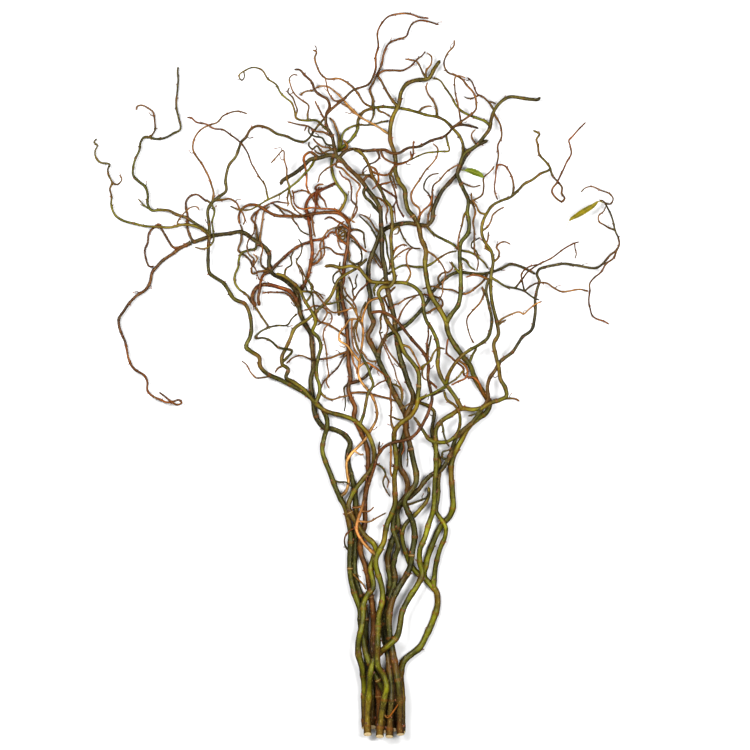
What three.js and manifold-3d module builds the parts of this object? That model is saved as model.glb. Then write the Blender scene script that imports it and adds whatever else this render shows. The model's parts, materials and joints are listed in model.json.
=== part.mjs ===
// A loose bunch of ten cut corkscrew-willow stems with two leaves, lying on a flat surface.
// Millimetres. X runs across the bunch, Y from the cut ends to the tips, Z up from the surface.
import * as THREE from "three";
import { mergeVertices } from "three/addons/utils/BufferGeometryUtils.js";
import Module from "manifold-3d";

// Driving dimensions.
const SHIFT = [0.9, -2.1]; // brings the middle of the bunch onto the origin
const GAP = 0.8; // clear space kept between two shoots that cross
const FLOOR_CLEAR = 0.02; // the lowest shoots lie this close to the surface
const THIN_LIMIT = 1.75; // shoots that start thinner than this are left out
const CHORD = 1.3; // how far a straight run may stand off the drawn route
const LONGEST_RUN = 60; // and how long it may be
const SAMPLE = 5; // spacing of the places where clearances are kept
const BUTT_FLARE = 1.14; // how much wider a stem is at its cut end
const SPREAD = 4.2; // how much higher each next stem lies where the bunch opens out
const LOWEST = 6; // the height a stem's middle line would have with nothing under it
const TWIG_SWING = 15; // how far side shoots rise above their stem or bend down from it
const MOUTH = { start: -420, end: 60 }; // where along Y the bunch opens out
const TIPS = { middle: 120, start: 170, width: 330, drop: 0.55 }; // how the far tips sink
const TAPER = 0.9; // how early a shoot loses its width: 1 is even
const SHOULDER = 0.92; // the widest a side shoot may be, as a share of its parent
const FULLER = { slope: 1.05, add: 0.42, slopeThick: 0.5, addThick: 2.65 };
const SETTLE_ROUNDS = 420;
const LIFT_ROUNDS = 160;
const SMOOTHING = 0.3; // share of a bend that each round takes out
const SINKING = 0.02; // share of the way back to its own height in each round
const PUSH_UP = 0.6; // share of a missing clearance that lifts the upper shoot
const PUSH_DOWN = 0.3; // and that presses the lower one down
const CELL = 24; // grid for finding shoots that come close
const NEAR_JOIN = 26; // a side shoot may touch its parent this close to their join
const LOOP_CLEAR = 34; // distance along one shoot after which it has to clear itself
const PERCH_GAP = 0.4; // clear space between a leaf's foot and its twig
const LEAF_HALF_THICK = 0.6;
const LEAF_RINGS = 16;
const LEAF_STALK = 0.75; // radius of a leaf's stalk
const LEAF_SIDES = 8;
const LEAF_BLADE = { start: 0.12, fullness: 0.7 }; // where the blade begins along the midrib

const BARK = {
  olive: { color: 0x7c7d2c, roughness: 0.55 },
  dark: { color: 0x3f4020, roughness: 0.6 },
  red: { color: 0x77391f, roughness: 0.5 },
  brown: { color: 0x58402b, roughness: 0.65 },
  rust: { color: 0xa4572a, roughness: 0.55 },
  gold: { color: 0xc3a05c, roughness: 0.6 },
  peel: { color: 0xb98a4c, roughness: 0.6 },
  ochre: { color: 0x8c6e24, roughness: 0.6 },
  moss: { color: 0x5f6424, roughness: 0.55 },
  ember: { color: 0x8a3c12, roughness: 0.55 },
  umber: { color: 0x4e3420, roughness: 0.6 },
};

// Each stem: its name and its shoots, from the lowest stem in the pile to the top one.
// A shoot: name, parent, radius at its start and at its tip, bark, and its route in plan.
const STEMS = [
  ["stem_1", [
    ["main", "", 5, 2.3, "dark", [
      "23,-526 23,-490 20.8,-455 16.5,-430 12,-405 13,-380 13,-355 6,-332 0,-310 -4,-290 -4,-262",
      "-3,-240 -2,-215 -2,-190 -4,-168 -9,-148 -13,-130 -13,-114 -10,-102 -18,-89 -34,-80 -50,-76",
      "-59,-66 -64,-52 -65,-38 -68,-22 -69,-5 -66,10 -66,28 -67,45 -69,62 -77,76 -84,92 -87,108",
      "-90,124 -100,138 -114,147 -126,153 -132,168 -132,182 -137,192 -148,200 -160,208 -173,216",
      "-190,214 -210,211 -230,206 -249,200",
    ]],
    ["crook", "main", 2.1, 1, "red", [
      "-249,200 -262,193 -276,183 -292,173 -301,162 -306,156 -310,141 -317,129 -330,120 -341,109",
      "-349,97 -356,85 -356,75 -352,62 -347,52 -344,38 -342,26 -336,14 -326,6 -320,2 -314,-8",
      "-313,-22 -304,-31 -295,-35 -285,-39 -275,-38 -266,-36 -262,-40 -268,-43 -278,-38 -288,-30",
      "-296,-24",
    ]],
    ["noose", "crook", 1.4, 0.9, "red", [
      "-258,195 -275,193 -283,203 -292,219 -297,228 -305,222 -312,213 -314,200 -318,190 -316,177",
      "-310,164 -303,165",
    ]],
    ["riser", "main", 1.4, 1, "red", [
      "-246,202 -251,212 -255,226 -254,240 -256,252 -256,262 -248,271 -240,272 -233,267 -225,261",
    ]],
    ["drop", "main", 1.4, 0.8, "brown", ["-173,216 -174,202 -177,188 -168,180 -160,172 -157,164"]],
    ["long_loop", "main", 1.6, 1, "olive", [
      "-150,201 -152,191 -162,188 -173,183 -177,174 -178,164 -183,150 -182,138 -176,129 -166,122",
      "-159,112 -151,101 -142,88 -134,76 -131,70",
    ]],
    ["side_1", "main", 1.3, 0.8, "red", [
      "-149,201 -150,212 -152,226 -158,236 -150,246 -140,254 -130,259",
    ]],
    ["side_2", "main", 1.4, 0.9, "brown", ["-146,199 -144,215 -142,232 -139,247 -130,255"]],
    ["side_3", "main", 1.3, 0.7, "brown", [
      "-133,157 -145,157 -157,153 -158,162 -152,170 -149,175 -156,184",
    ]],
    ["side_4", "main", 1.2, 0.7, "brown", ["-134,158 -142,164 -144,178 -141,190 -145,205"]],
    ["rust_arc", "main", 3, 2.2, "ember", [
      "-87,104 -91,115 -102,127 -117,133 -132,137 -146,135 -155,126 -157,113 -151,103",
    ]],
    ["rust_twig", "main", 1.5, 2, "ember", ["-130,157 -140,152 -144,142 -145,130 -148,117 -146,104"]],
    ["red_bow", "main", 2, 1.4, "ember", [
      "-128,158 -119,168 -107,180 -94,190 -80,198 -66,203 -54,205 -44,208",
    ]],
    ["tall_red", "main", 2.6, 1.7, "ember", [
      "-90,124 -82,132 -75,146 -70,163 -67,185 -69,205 -70,222 -74,240 -77,254 -70,268 -56,278",
      "-42,284 -31,290",
    ]],
    ["tall_side", "tall_red", 1.2, 0.7, "brown", [
      "-69,165 -58,171 -54,180 -55,195 -50,208 -44,217 -32,222 -22,223",
    ]],
    ["tall_fork", "tall_red", 1.5, 0.9, "ember", ["-72,232 -66,240 -62,252 -63,264 -60,276 -56,284"]],
    ["fan_1", "side_1", 1.1, 0.7, "brown", ["-128,260 -120,261 -113,260 -100.5,258.6"]],
    ["drop_2", "tall_red", 1, 0.7, "brown", ["-57,276 -55.5,270 -49,262 -45.8,252"]],
    ["knuckle", "tall_red", 1.3, 1, "brown", ["-58,276 -62,281 -57,286 -49,287"]],
    ["knuckle_2", "tall_red", 1.2, 0.9, "rust", ["-59,275 -60.3,262 -59,256 -54,251"]],
    ["hollow_t", "side_1", 1.1, 0.8, "brown", [
      "-146,246 -152,237 -152.7,226.5 -154.3,215 -162.4,204 -164,191 -161.6,181.5 -154.3,175 -153.5,164",
    ]],
    ["hollow_2", "hollow_t", 1, 0.7, "rust", [
      "-154,176 -156,165 -152,160 -148.7,151 -145.5,144.5 -138.3,143",
    ]],
    ["curl_1", "red_bow", 1, 0.6, "brown", ["-43,206 -41,213.6 -33,215 -29.8,210.4 -26.6,196 -22.5,188"]],
    ["curl_2", "red_bow", 1, 0.7, "brown", ["-51,206 -50,196 -49,181.5 -54,175 -63.5,168.6"]],
    ["arc_3", "main", 1.2, 0.8, "red", [
      "-90,98 -95.7,112.4 -102,120.4 -110,125.2 -123,125.4 -134,125 -142.5,123.6",
    ]],
    ["link_2", "main", 1, 0.9, "brown", ["-171.5,217 -172.8,222 -175.5,228"]],
  ]],
  ["stem_2", [
    ["main", "", 5, 1.5, "red", [
      "33.5,-530 33.5,-500 30.6,-465 24.9,-435 23,-405 25,-380 24,-352 20,-325 16,-300 11,-281",
      "6,-265 5,-250 8,-235 12,-217 12,-196 13,-174 17,-152 17,-130 15,-110 10,-92 2,-76 -5,-62",
      "-3,-46 -9,-32 -13,-18 -10,-3 -12,15 -13,35 -14,55 -15,75 -18,95 -22,112 -23,130 -20,148",
      "-19,165 -17,180 -14,195 -13,210 -11,224 -17,236 -28,244 -45,245 -62,243 -80,240 -100,239",
      "-122,241 -137,248 -150,256 -163,256 -172,250 -177,239 -175,226",
    ]],
    ["stub", "main", 3.2, 3.4, "olive", ["-21,143 -27,136 -29,122 -28,105 -27,89"]],
    ["ladder", "main", 1.3, 0.9, "brown", ["-11,-26 0,-25 15,-25 30,-29 48,-34 66,-40"]],
    ["whisker", "main", 1.2, 0.7, "brown", ["-13,37 -26,33 -40,27 -58,25 -70,26 -82,30 -98,26 -106,18"]],
    ["thread", "main", 1.2, 0.8, "red", ["-14,38 -21,27 -29,12 -40,2 -50,-9 -54,-20"]],
    ["cross_1", "main", 1.3, 0.8, "brown", [
      "-15,58 -28,68 -43,77 -58,84 -61,94 -52,103 -45,96 -49,84 -60,75",
    ]],
    ["olive_arch", "main", 2.6, 1.6, "olive", [
      "-28,244 -20,256 -17,268 -24,280 -32,292 -38,308 -38,321 -31,335 -20,345 -8,355 0,368 2,384",
      "11,397 25,402 45,403 62,402 76,399 92,395 106,391 120,388 133,382 143,372 153,360 159,347",
      "158,330 153,316",
    ]],
    ["arch_t1", "olive_arch", 1.2, 0.8, "brown", [
      "25,402 10,410 0,425 -12,438 -25,445 -46,446 -56,455 -61,466 -63,478 -61,486 -67,489",
    ]],
    ["arch_t2", "olive_arch", 1.6, 0.8, "red", [
      "24,402 24,415 19,428 25,440 30,452 37,466 40,483 47,497 60,504 75,510 78,519 82,527 92,532",
      "104,531 123,526",
    ]],
    ["arch_t3", "olive_arch", 1.1, 0.8, "brown", ["92,395 98,401 106,404 113,404"]],
    ["arch_t4", "olive_arch", 1.3, 0.8, "brown", ["120,388 119,402 114,412 107,422 104,434 106,440"]],
    ["arch_t5", "olive_arch", 1.3, 0.8, "olive", ["-26,341 -18,368 -3,375 15,376 32,379 48,383"]],
    ["knot_1", "main", 1.5, 0.8, "rust", ["-12,219 -22,228 -32,233 -40,238 -50,234"]],
    ["knot_2", "main", 1.4, 0.9, "dark", ["-12,218 0,219 9,215 11,203 13,190"]],
    ["knot_3", "main", 1.7, 1, "red", ["-13,213 -3,204 7,192 16,185"]],
    ["knot_4", "main", 1.2, 0.7, "red", ["-14,230 -4,240 0,252 -8,262 -8,280 -12,292 -22,299 -27,308"]],
    ["knot_5", "main", 1.3, 0.8, "rust", ["-16,196 -25,205 -32,215 -28,226 -18,232"]],
    ["knot_6", "main", 1.1, 0.7, "brown", ["-17,182 -32,184 -42,192 -54,190 -62,178 -69,169"]],
    ["stub_b", "olive_arch", 1.9, 1.7, "rust", ["-26,336 -18,339 -14,343 -17,349 -20.5,354"]],
    ["stub_a", "olive_arch", 1.6, 1, "brown", ["-29,341 -27,352 -28,362.4 -32,372 -36.2,382 -41.8,387.4"]],
    ["fan_2", "main", 1.2, 0.8, "brown", ["-91,242.5 -100.5,246 -115,251.5 -127,258.6"]],
    ["fan_3", "main", 1, 0.7, "dark", ["-106,243 -116.6,250.6 -126,258"]],
    ["ribbon", "knot_4", 1.5, 0.8, "rust", [
      "-11,234 -23,244 -33,249 -44,250.6 -57,250.6 -66.7,251.4 -79.6,249.8 -90,254 -94,259 -95.7,273",
      "-97.5,280",
    ]],
    ["ribbon_t", "ribbon", 1, 0.7, "brown", ["-95.7,274 -86,277 -76.4,277 -71.6,271.5"]],
    ["ladder_2", "main", 1, 0.7, "dark", ["-98,240 -94,231 -89,225 -86,220 -78,213.6 -71,211"]],
    ["slip", "main", 1.2, 0.8, "brown", ["-69,240 -66.7,230 -65,218.5 -62,207"]],
    ["burr_1", "knot_1", 1.1, 0.8, "ochre", ["-17,224 -24,221 -28,215 -23,209 -18,212 -21,218 -27,219"]],
    ["burr_2", "burr_1", 1.1, 0.8, "ochre", ["-18,216 -24,213 -26,207 -20,204 -17,209"]],
    ["burr_3", "burr_2", 1, 0.7, "ochre", ["-19,207 -16,214 -22,222 -28,224 -31,218"]],
    ["cradle", "main", 1.3, 0.9, "dark", [
      "-13,192 -11.6,183 -10.8,172 -2,168 6,172 7.7,181.5 5.3,189.5 -2,198 -9,204",
    ]],
    ["long_4", "cross_1", 1.2, 0.8, "brown", [
      "-44,97 -39.4,93 -38.6,82 -47.5,72 -50.7,59.4 -47.5,46.5 -45,33.6 -45,17.6 -42.6,1.5 -45.8,-8",
      "-41,-19.4",
    ]],
    ["cross_8", "main", 2, 1.6, "umber", ["-8,-12 4.5,-6.5 15,1.5 20,10 24,18"]],
    ["lash_4", "olive_arch", 1.4, 1, "dark", ["25,400 25,396 22.3,384.7 17,377"]],
    ["lash_5", "olive_arch", 1.2, 0.8, "brown", ["31,398 33,396.8 40.4,394.4 50,388"]],
    ["hang_1", "main", 1, 0.7, "dark", ["-15,-10 -19,-17 -17.5,-31.7 -17.5,-45.6 -19.6,-54"]],
  ]],
  ["stem_3", [
    ["main", "", 5, 2.4, "dark", [
      "54.5,-530 54.5,-495 54,-462 50.6,-435 45,-412 40,-388 40,-362 43,-342 48,-325 50,-305",
      "47,-288 46,-272 50,-255 56,-238 61,-222 60,-205 66,-190 74,-178 76,-163 72,-149 65,-138",
      "63,-122 66,-104 71,-88 74,-72 72,-58 66,-45 58,-30 50,-14 43,2 36,16 30,30 22,46 16,60 22,72",
      "25,80 20,92 18,108 20,120 17,136 17,152 18,168 24,186 30,200 35,213 46,222 60,227 76,229",
      "92,226 104,225 112,233 114,248 120,262 128,278 138,290 150,303 157,318 165,333 180,345",
      "197,353",
    ]],
    ["black_bough", "main", 2.6, 1.4, "dark", [
      "31,27 35,43 43,58 56,66 70,73 82,84 95,97 105,111 112,124 124,137 136,149 150,155 170,154",
      "190,153 204,156 218,162 230,167 245,164 258,158 268,152",
    ]],
    ["bough_t1", "black_bough", 1.3, 0.8, "brown", [
      "196,155 188,141 178,132 168,125 155,123 144,128 130,130 115,134 97,130",
    ]],
    ["bough_t2", "black_bough", 1.2, 0.7, "brown", ["124,137 122,147 128,154 137,156 143,163 138,172"]],
    ["bough_t3", "black_bough", 1.3, 0.8, "brown", [
      "96,98 104,94 116,101 128,106 127,114 117,119 104,121 90,121 75,116 60,108 45,103",
    ]],
    ["hook", "main", 1.2, 0.8, "brown", [
      "106,226 107,240 111,253 113,268 115,286 123,293 132,303 144,312 151,316",
    ]],
    ["hook_t", "hook", 1, 0.7, "dark", ["112,260 108,272 100,281 102,291 111,300 123,303"]],
    ["kt_1", "main", 1.1, 0.7, "dark", ["60,227 68,211 76,198 84,191 96,191"]],
    ["kt_2", "main", 1.6, 0.9, "olive", [
      "104,225 114,213 129,205 142,198 153,189 168,186 182,177 192,168 197,160",
    ]],
    ["kt_3", "main", 1.2, 0.7, "brown", ["180,345 175,352 172,362 178,370"]],
    ["kt_4", "main", 1.1, 0.8, "red", ["71,-142 62,-138 50,-134"]],
    ["kt_5", "main", 1.5, 0.8, "red", ["24,186 32,174 41,160 50,151"]],
    ["kt_6", "main", 1.1, 0.7, "brown", ["35,213 27,222 20,232 10,240 3,242"]],
    ["thread_2", "main", 1.1, 0.7, "dark", ["25.6,206 21.4,221.7 12.5,231.3 2.1,241"]],
    ["twist_2", "kt_2", 1, 0.7, "dark", ["185,181 178,188 171.6,193 171.6,199 178,204 185,207.5"]],
    ["stray_3", "main", 1.3, 0.9, "olive", ["43,212 44.7,196 45.5,183 48.7,170 49,158"]],
    ["stray_5", "main", 1.1, 0.8, "brown", ["24,180 30,168.6 37,160"]],
    ["loop_6", "main", 1.5, 1.1, "olive", ["72,-40 68,-27.5 62.6,-16.4 55.6,-13 47,-12"]],
  ]],
  ["stem_4", [
    ["main", "", 5.1, 2.4, "olive", [
      "66.5,-533 67.5,-500 66.9,-470 66,-445 70.7,-427 82,-416 93,-407 105,-387 115,-362 121,-338",
      "119,-323 110,-312 101,-302 104,-278 112,-255 118,-240 128,-222 139,-210 144,-198 143,-175",
      "141,-150 142,-130 147,-113 157,-95 168,-76 182,-63 195,-52 199,-41 191,-27 181,-12 175,0",
      "170,15 158,30 146,46 137,64 133,82 122,102 112,119 105,140 102,165 103,188 96,205 93,222",
      "86,236 76,249 73,264 72,278 62,291 57,306 58,320 56,335 50,351 50,370 55,390 62,405 66,425",
      "75,437 90,443 107,445 116,459 125,473",
    ]],
    ["left_fork", "main", 3.6, 2.2, "olive", [
      "102,-303 91,-295 81,-284 74,-268 69,-250 68,-236 73,-222 82,-212 93,-201 104,-188 108,-175",
      "107,-165",
    ]],
    ["right_fork", "main", 3.4, 2, "olive", [
      "114,-317 116,-300 118,-282 124,-260 132,-240 133,-228 127,-216 119,-203 121,-184 122,-160",
      "124,-140 122,-120 115,-100 112,-82 115,-66 116,-54 108,-46 96,-41 84,-37",
    ]],
    ["spear", "main", 3.2, 1.9, "moss", [
      "134,80 142,93 151,106 155,122 155,150 154,178 156,200 166,214 168,228 165,245 166,262",
      "160,278 155,290 150,302 154,317 161,332 175,342 190,358 199,370 201,385 205,397 217,411",
      "228,417 246,416 262,414 271,414 275,418",
    ]],
    ["spear_t1", "spear", 1.6, 0.9, "olive", [
      "200,374 192,381 180,385 168,390 156,397 147,406 140,419 132,431 123,442 112,445",
    ]],
    ["spear_t2", "spear", 1.2, 0.7, "red", [
      "203,394 208,387 215,375 216,358 211,346 212,330 209,316 208,300 206,286 208,272 211,263",
    ]],
    ["spear_t3", "spear", 1.2, 0.7, "red", ["205,398 198,409 190,416 180,422 176,432 172,440 165,447"]],
    ["spear_t4", "spear", 1.2, 0.7, "brown", ["165,248 160,240 157,225 152,210 151,198 152,186"]],
    ["spear_t5", "spear", 1.2, 0.7, "brown", [
      "165,266 172,258 177,245 173,230 176,215 175,200 176,186 181,172 179,156",
    ]],
    ["spear_t6", "spear", 1.1, 0.7, "brown", ["166,256 174,262 187,271 190,285 190,297 198,305 206,315"]],
    ["spear_t7", "spear", 1.3, 0.8, "olive", ["155,152 150,158 146,163 141,172"]],
    ["crown_t1", "main", 1.6, 0.8, "red", [
      "60,403 52,414 43,428 37,441 32,450 40,457 52,458 67,457 80,464 89,473 98,480 103,487",
    ]],
    ["crown_t2", "main", 1.2, 0.7, "brown", ["104,446 96,459 88,471 80,473 71,474"]],
    ["crown_t3", "main", 1.1, 0.7, "brown", ["103,446 104,456 111,467 111,478 104,484"]],
    ["tan_t1", "main", 1.2, 0.7, "gold", [
      "50,361 36,370 20,379 5,388 -8,400 -20,413 -31,424 -45,434 -58,433 -68,428 -76,427 -86,420",
    ]],
    ["coil_t1", "main", 1.6, 0.9, "rust", [
      "197,-38 187,-22 180,-8 174,-2 166,-1 160,2 159,11 150,20 141,28 134,33 134,45 136,56",
    ]],
    ["mid_t1", "main", 1.4, 0.8, "olive", ["102,163 112,168 122,176 135,183 150,187"]],
    ["mid_t2", "main", 1.5, 0.8, "olive", ["102,163 86,163 70,165 57,160 46,152 37,144 30,134"]],
    ["mid_t3", "main", 1.1, 0.6, "brown", ["103,188 118,177 128,164 132,150 128,136 127,122 122,110"]],
    ["hair_1", "main", 1.3, 0.7, "brown", [
      "92,226 94,240 93,250 84,258 81,268 86,282 94,294 102,306 112,317 120,330 121,340 113,348",
    ]],
    ["hair_2", "main", 1.4, 0.7, "rust", ["90,230 99,247 109,257 112,268 114,285"]],
    ["hair_3", "main", 1.2, 0.7, "red", [
      "58,310 49,300 52,290 57,275 58,260 52,252 44,258 38,272 30,285",
    ]],
    ["sickle", "spear", 1.4, 0.9, "olive", ["157,177 162.8,172 168.4,164 178,157.4"]],
    ["under_t", "spear", 0.8, 0.6, "brown", ["158,293 163.6,286 173,282.7 185,286"]],
    ["rung_2", "hair_3", 1.3, 0.9, "rust", ["52,301 53,298 56,287.6 59.5,279"]],
    ["stray_2", "hair_3", 1, 0.7, "rust", ["56,254 56.7,240 58,229"]],
    ["lash_1", "tan_t1", 1.1, 0.7, "brown", ["0,389 -7,396 -14,402.8 -24,408.5"]],
    ["lash_6", "spear_t3", 0.9, 0.6, "dark", ["182,420 177,417.4 164.3,416 160.2,418.8"]],
    ["lash_7", "spear_t3", 1.1, 0.8, "brown", ["199,411 202,409.7 208,406.5"]],
    ["wedge", "main", 1.6, 1.3, "olive", ["168,19 170,24 174,33 179.5,42"]],
  ]],
  ["stem_5", [
    ["main", "", 5, 1.2, "moss", [
      "44,-531 44,-507 45,-482 35.8,-462 24.9,-441 14,-416 9,-391 5,-368 4,-348 -1,-332 -6,-316",
      "-10,-300 -11,-282 -10,-262 -9,-240 -13,-216 -18,-196 -25,-182 -33,-165 -40,-146 -47,-128",
      "-52,-110 -49,-92 -44,-74 -47,-58 -56,-44 -66,-34 -80,-24 -98,-14 -118,-4 -136,5 -145,15",
      "-146,28 -158,37 -165,43 -160,58 -158,75 -160,92 -168,108 -183,115 -192,128 -201,140 -211,147",
      "-219,153 -223,170 -222,190 -220,212 -222,232 -223,247 -216,260 -204,270 -196,276 -196,292",
      "-194,306 -191,316 -181,328 -176,341 -173,350 -167,356 -159,368 -148,374 -134,371 -120,362",
      "-105,359 -92,352 -79,350 -72,355 -66,364 -57,375 -48,386",
    ]],
    ["west_bough", "main", 2.1, 1, "moss", [
      "-220,214 -232,222 -245,230 -258,238 -270,242 -280,247 -294,248 -308,248 -313,258 -313,270",
      "-318,284 -326,291 -335,302 -335,313 -332,324 -326,338 -324,350 -319,357 -302,355 -287,357",
      "-275,363 -265,369 -267,385 -270,400 -271,413 -269,427 -268,442 -269,456 -268,464",
    ]],
    ["west_t1", "west_bough", 0.9, 0.6, "olive", ["-306,248 -318,255 -328,266"]],
    ["west_t2", "west_bough", 1.1, 0.7, "brown", [
      "-319,357 -310,358 -304,366 -303,381 -306,396 -313,401 -324,406 -330,404 -331,398",
    ]],
    ["south_bough", "main", 1.7, 0.9, "olive", [
      "-220,209 -229,218 -246,225 -262,226 -280,222 -300,223 -325,226 -350,233 -361,240 -368,256",
      "-367,268 -370,281 -367,289 -371,300 -373,310 -371,316 -385,320 -391,328 -392,338 -389,345",
      "-394,350 -389,356",
    ]],
    ["south_t1", "south_bough", 0.9, 0.6, "brown", ["-367,288 -357,287 -352,294 -356,301"]],
    ["south_t2", "south_bough", 0.9, 0.6, "brown", [
      "-262,226 -268,228 -264,236 -257,245 -248,252 -239,252 -235,247",
    ]],
    ["balloon", "main", 1.3, 0.7, "brown", [
      "-216,260 -214,272 -218,287 -223,302 -231,315 -239,327 -245,340 -244,352 -239,361 -231,369",
      "-220,375 -207,379 -200,388 -190,393 -177,395 -163,391",
    ]],
    ["fall", "main", 1.2, 0.7, "olive", [
      "-217,257 -213,246 -216,230 -215,215 -214,201 -221,193 -231,190 -243,193",
    ]],
    ["swag", "main", 1.2, 0.8, "brown", [
      "-213,262 -201,263 -190,265 -180,259 -176,250 -170,242 -167,233 -170,225",
    ]],
    ["gold", "main", 1.9, 1.2, "gold", [
      "-24,-181 -16,-172 -13,-160 -15,-143 -15,-128 -9,-117 2,-105 13,-93 22,-79 29,-64 29,-47",
      "24,-32 16,-21 7,-9 2,4 3,18 6,34 8,52 9,68 8,82 11,97 17,110 27,115 40,117 50,127 58,134",
    ]],
    ["gold_2", "gold", 1.6, 1, "gold", ["4,22 -6,34 -16,46 -26,54 -26,64 -18,74 -10,84 2,84 10,72"]],
    ["gold_3", "gold", 1.4, 0.9, "ochre", ["9,78 0,92 -8,106 -20,120 -24,134 -22,148 -26,160 -25,172"]],
    ["tan_loop", "gold", 1.2, 0.7, "rust", ["4,14 14,20 24,15 36,6 44,-4 34,-10 24,-18"]],
    ["nick", "main", 1, 0.7, "dark", ["-33,-155 -26,-159 -16,-159 -7,-166"]],
    ["bow_t", "main", 1, 0.7, "red", ["-11,-264 -18,-252 -18,-240 -12,-232 -3,-228"]],
    ["spur", "main", 1.1, 0.7, "brown", ["-11,-292 -1,-302 8,-310 14,-320"]],
    ["tail", "main", 0.9, 0.6, "brown", ["-128,1 -141,-2 -151,-3 -158,4 -165,17 -173,23"]],
    ["loop_5", "gold_3", 1.1, 0.8, "dark", ["-26,158 -35.4,149.4 -34.6,139.7 -29.8,136.5 -24,134"]],
    ["fork_6", "gold_3", 1.9, 1.3, "ember", ["3,93 -2,104.4 -6,112.4 -2.5,118 3,126 12.5,135 17,141"]],
    ["fork_7", "fork_6", 1.4, 0.9, "ochre", ["-6,112 -12,119 -18,127 -21,136"]],
    ["fork_8", "fork_6", 1, 0.7, "dark", ["-4,116 -6,124 -6,131.7 -10,143 -14,149"]],
    ["fork_9", "fork_8", 1, 0.7, "dark", ["-6,128 -1,133.3 -2,143 1,153"]],
    ["slate", "gold_2", 1.3, 0.9, "brown", ["-7,88 -8,72 -6.5,55 -3,38 3,31"]],
    ["ember", "gold_2", 1.4, 0.9, "rust", ["-8,38 -7.5,30.4 -5,19 -0.3,11 0,2"]],
    ["spit_2", "gold", 1.1, 0.7, "brown", ["8,37 10,33 15,25.6 24,22 29,23 27,17"]],
    ["stray_7", "gold", 1.1, 0.8, "brown", ["40,117 44.7,106 48,95"]],
    ["nick_4", "gold", 0.9, 0.6, "dark", ["-6,-110 -1,-114 5.5,-118 11,-117.4"]],
    ["link_1", "fall", 1.1, 1, "brown", ["-215,257.5 -220.5,259.7 -227,264"]],
  ]],
  ["stem_6", [
    ["main", "", 5, 1.7, "olive", [
      "13,-526 11,-490 10.8,-456 7.6,-433 2,-416 2,-398 7,-378 9,-358 10,-339 16,-327 24,-317",
      "23,-302 20,-289 24,-275 29,-262 25,-251 16,-243 7,-232 1,-222 -8,-209 -13,-196 -9,-182",
      "-1,-168 11,-152 22,-138 27,-121 24,-104 18,-90 8,-76 -3,-66 -18,-60 -36,-56 -50,-50 -64,-38",
      "-80,-20 -94,-9 -106,-2 -103,10 -112,18 -112,28 -106,42 -99,57 -93,71 -83,79 -72,86 -61,96",
      "-50,107 -40,118 -33,131 -28,143 -18,151 -5,158 7,167 16,176",
    ]],
    ["twin", "main", 3, 2, "olive", [
      "-61,-40 -56,-26 -56,-14 -60,-2 -60,14 -57,30 -54,45 -58,58 -66,67 -62,80 -66,93 -73,105",
      "-80,117 -86,129 -98,141 -110,150 -122,153",
    ]],
    ["zigzag", "main", 1.5, 0.9, "dark", [
      "-110,20 -104,27 -97,38 -106,40 -117,43 -128,52 -140,57 -151,57 -145,65 -133,72 -118,75",
      "-103,77 -98,84 -88,93",
    ]],
    ["arm", "main", 2, 1.1, "moss", [
      "5,-72 10,-58 13,-42 17,-26 24,-14 20,0 17,12 8,28 1,42 -3,58 -4,74 4,86 8,100 14,112",
    ]],
    ["drape", "twin", 1.3, 0.8, "brown", ["-55,-22 -50,-30 -38,-35 -24,-32 -12,-29"]],
    ["squig", "main", 1.2, 0.8, "dark", ["28,-130 38,-138 43,-147 39,-158 43,-171 50,-181"]],
    ["squig_t", "squig", 0.8, 0.6, "red", ["43,-148 47,-158 45,-168"]],
    ["twin_t1", "twin", 1.2, 0.7, "brown", [
      "-84,126 -74,126 -62,124 -54,114 -47,104 -38,96 -20,97 -5,102",
    ]],
    ["twin_t2", "twin", 1.1, 0.7, "dark", [
      "-76,110 -70,118 -68,130 -72,142 -80,152 -84,162 -90,170 -84,182 -83,196 -88,206",
    ]],
    ["elbow", "main", 1.2, 0.8, "dark", ["-50,107 -38,108 -26,112 -14,120"]],
    ["dot", "main", 1.1, 0.7, "red", ["-109,16 -118,12 -123,4"]],
    ["plumb", "twin", 1.1, 0.8, "dark", ["-107,150 -105.3,160.6 -98,166.2 -98.9,178.3 -94,186.5"]],
    ["twin_3", "twin_t2", 1.2, 0.9, "dark", [
      "-92,169 -86,159 -81,148 -79.6,139.7 -75.6,131.7 -73,125 -66,123",
    ]],
    ["wisp_1", "twin_t2", 1, 0.7, "brown", ["-70,143 -66,135 -65,128.5 -57,123.6 -49,114"]],
    ["wisp_2", "main", 1.1, 0.8, "dark", ["-64,99 -65,111 -66,120 -67,125"]],
    ["wisp_3", "main", 0.9, 0.7, "brown", ["-56,107 -65,104.4 -73,99 -80,98"]],
    ["amber", "arm", 1.1, 0.8, "ochre", ["4,88 0,78.6 -1,68 1,60 4,49.7"]],
  ]],
  ["stem_7", [
    ["main", "", 5.1, 0.9, "dark", [
      "48.5,-538 49.5,-505 51.1,-470 48.8,-440 46,-415 43,-390 42,-365 45,-345 50,-328 56,-312",
      "57,-298 54,-284 57,-270 62,-256 59,-243 54,-230 55,-215 58,-200 66,-188 80,-180 92,-170",
      "102,-157 112,-147 124,-142 133,-131 141,-114 146,-97 157,-82 171,-71 181,-57 190,-45 196,-33",
      "195,-15 198,-3 206,8 213,20 222,28 232,36 240,47 248,58 260,68 265,85 267,100 266,115",
      "269,130 273,142 269,152 272,159 282,163 298,166 311,168 325,166 340,163 358,162 368,168",
      "378,180 387,188 392,197 391,207 386,217 383,230 379,243 375,251 371,258",
    ]],
    ["wrist_t", "main", 1.4, 0.8, "dark", ["136,-125 128,-122 128,-114 138,-110 146,-104"]],
    ["east_t1", "main", 0.9, 0.6, "brown", [
      "371,258 379,257 383,265 378,272 365,278 351,283 341,281 334,274",
    ]],
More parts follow.
